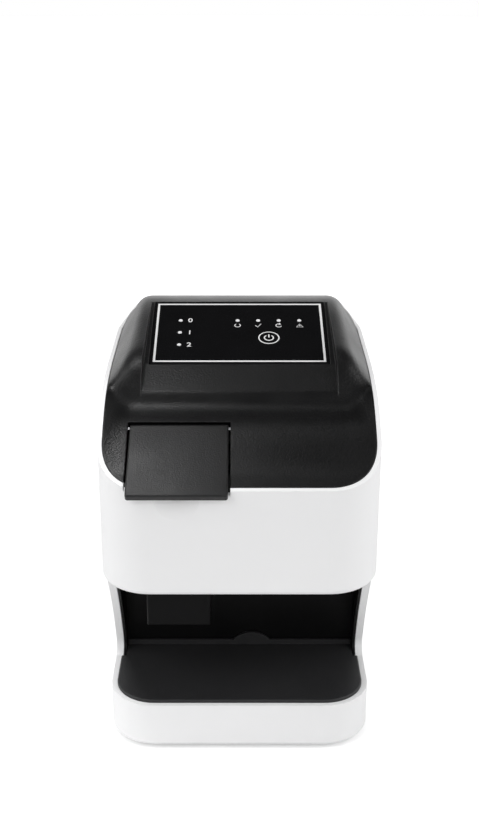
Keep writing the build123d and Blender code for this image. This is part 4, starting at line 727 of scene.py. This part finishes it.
for text, row in digit_rows.items():
    data = bpy.data.curves.new("size_digit_" + text, "FONT")
    data.body = text
    data.size = digit_size
    data.align_x = "CENTER"
    data.align_y = "CENTER"
    data.extrude = digit_height
    data.offset = digit_swell
    drawing = bpy.data.objects.new("size_digit_" + text, data)
    scene.collection.objects.link(drawing)
    place = panel_place @ Matrix.Translation((digit_x, row, ink_lift))
    piece = settle(drawing, place, "housing")
    print(piece.name, "has", len(piece.data.vertices), "points")

# %% [markdown]
# The signs are lines of one width, as a pen would draw them. A font of signs might be missing
# on another computer, so each sign is a few strokes: a curve with a round bevel, pressed flat
# until it is as thin as ink. An arc from 125 to 415 degrees leaves a gap of 70 degrees at the
# top, as the power sign has it.

# %% A pen for lines
ink_flatness = 0.12
pen_corners = 2


def pen_line(name, strokes, x, y, width, body="housing", lift=ink_lift):
    """Sign drawn with a round pen; a stroke is its points and whether they close a ring."""
    data = bpy.data.curves.new(name, "CURVE")
    data.dimensions = "3D"
    data.bevel_depth = width / 2
    data.bevel_resolution = pen_corners
    data.use_fill_caps = True
    for points, closed in strokes:
        spline = data.splines.new("POLY")
        spline.points.add(len(points) - 1)
        for point, (px, py) in zip(spline.points, points):
            point.co = (px, py, 0, 1)
        spline.use_cyclic_u = closed
    drawing = bpy.data.objects.new(name, data)
    scene.collection.objects.link(drawing)
    flat = Matrix.Diagonal((1, 1, ink_flatness, 1))
    return settle(drawing, panel_place @ Matrix.Translation((x, y, lift)) @ flat, body)


def arc(radius, start, end, steps):
    """Points on an arc, its angles in degrees from the right, anticlockwise."""
    turns = [radians(start + (end - start) * step / steps) for step in range(steps + 1)]
    return [(radius * cos(turn), radius * sin(turn)) for turn in turns]


print("Pen ready")

# %% [markdown]
# Under the four lenses of the row stand four general signs: ready, done, busy and caution.
# Each is drawn round its own middle in shares of one size, so that one number scales them all.

# %% Print the signs
sign_y = 6.8 * mm
sign_pen = 0.55 * mm
size = 1.7 * mm

ready = [(arc(size, 125, 415, 20), False)]
done = [([(-size, 0), (-0.3 * size, -size), (size, size)], False)]
arrow_head = [(0.2 * size, 1.5 * size), (0.75 * size, 0.75 * size), (-0.1 * size, 0.4 * size)]
busy = [(arc(size, 60, 340, 20), False), (arrow_head, False)]
triangle = [(-1.15 * size, -size), (1.15 * size, -size), (0, size)]
caution = [(triangle, True), ([(0, 0.3 * size), (0, -0.5 * size)], False)]
signs = [
    ("sign_ready", ready, -1.16 * mm),
    ("sign_done", done, 11.43 * mm),
    ("sign_busy", busy, 23.83 * mm),
    ("sign_caution", caution, 36.6 * mm),
]
for name, strokes, x in signs:
    piece = pen_line(name, strokes, x, sign_y, sign_pen)
    print(piece.name, "has", len(piece.data.vertices), "points")

# %% [markdown]
# The key carries a ring and the general power sign. They could be moulded into its cap, but on
# a glossy key they are printed too. They ride on the key, so they sink with it when it is
# pressed. Their lift is larger, because the cap stands a little above the panel.

# %% Print the key
key_x = 17.6 * mm
key_y = -6.7 * mm
key_lift = 0.33 * mm
ring_radius = 6.0 * mm
ring_pen = 0.75 * mm
ring_points = 48
power_radius = 2.7 * mm
power_pen = 0.8 * mm

last_turn = 360 * (ring_points - 1) / ring_points
ring = [(arc(ring_radius, 0, last_turn, ring_points - 1), True)]
power = [
    (arc(power_radius, 125, 415, 30), False),
    ([(0, power_radius * 1.25), (0, power_radius * 0.1)], False),
]
pen_line("key_ring", ring, key_x, key_y, ring_pen, "key", key_lift)
pen_line("key_power_sign", power, key_x, key_y, power_pen, "key", key_lift)
print("Key printed, its ring is", round(2 * ring_radius / mm, 1), "mm across")
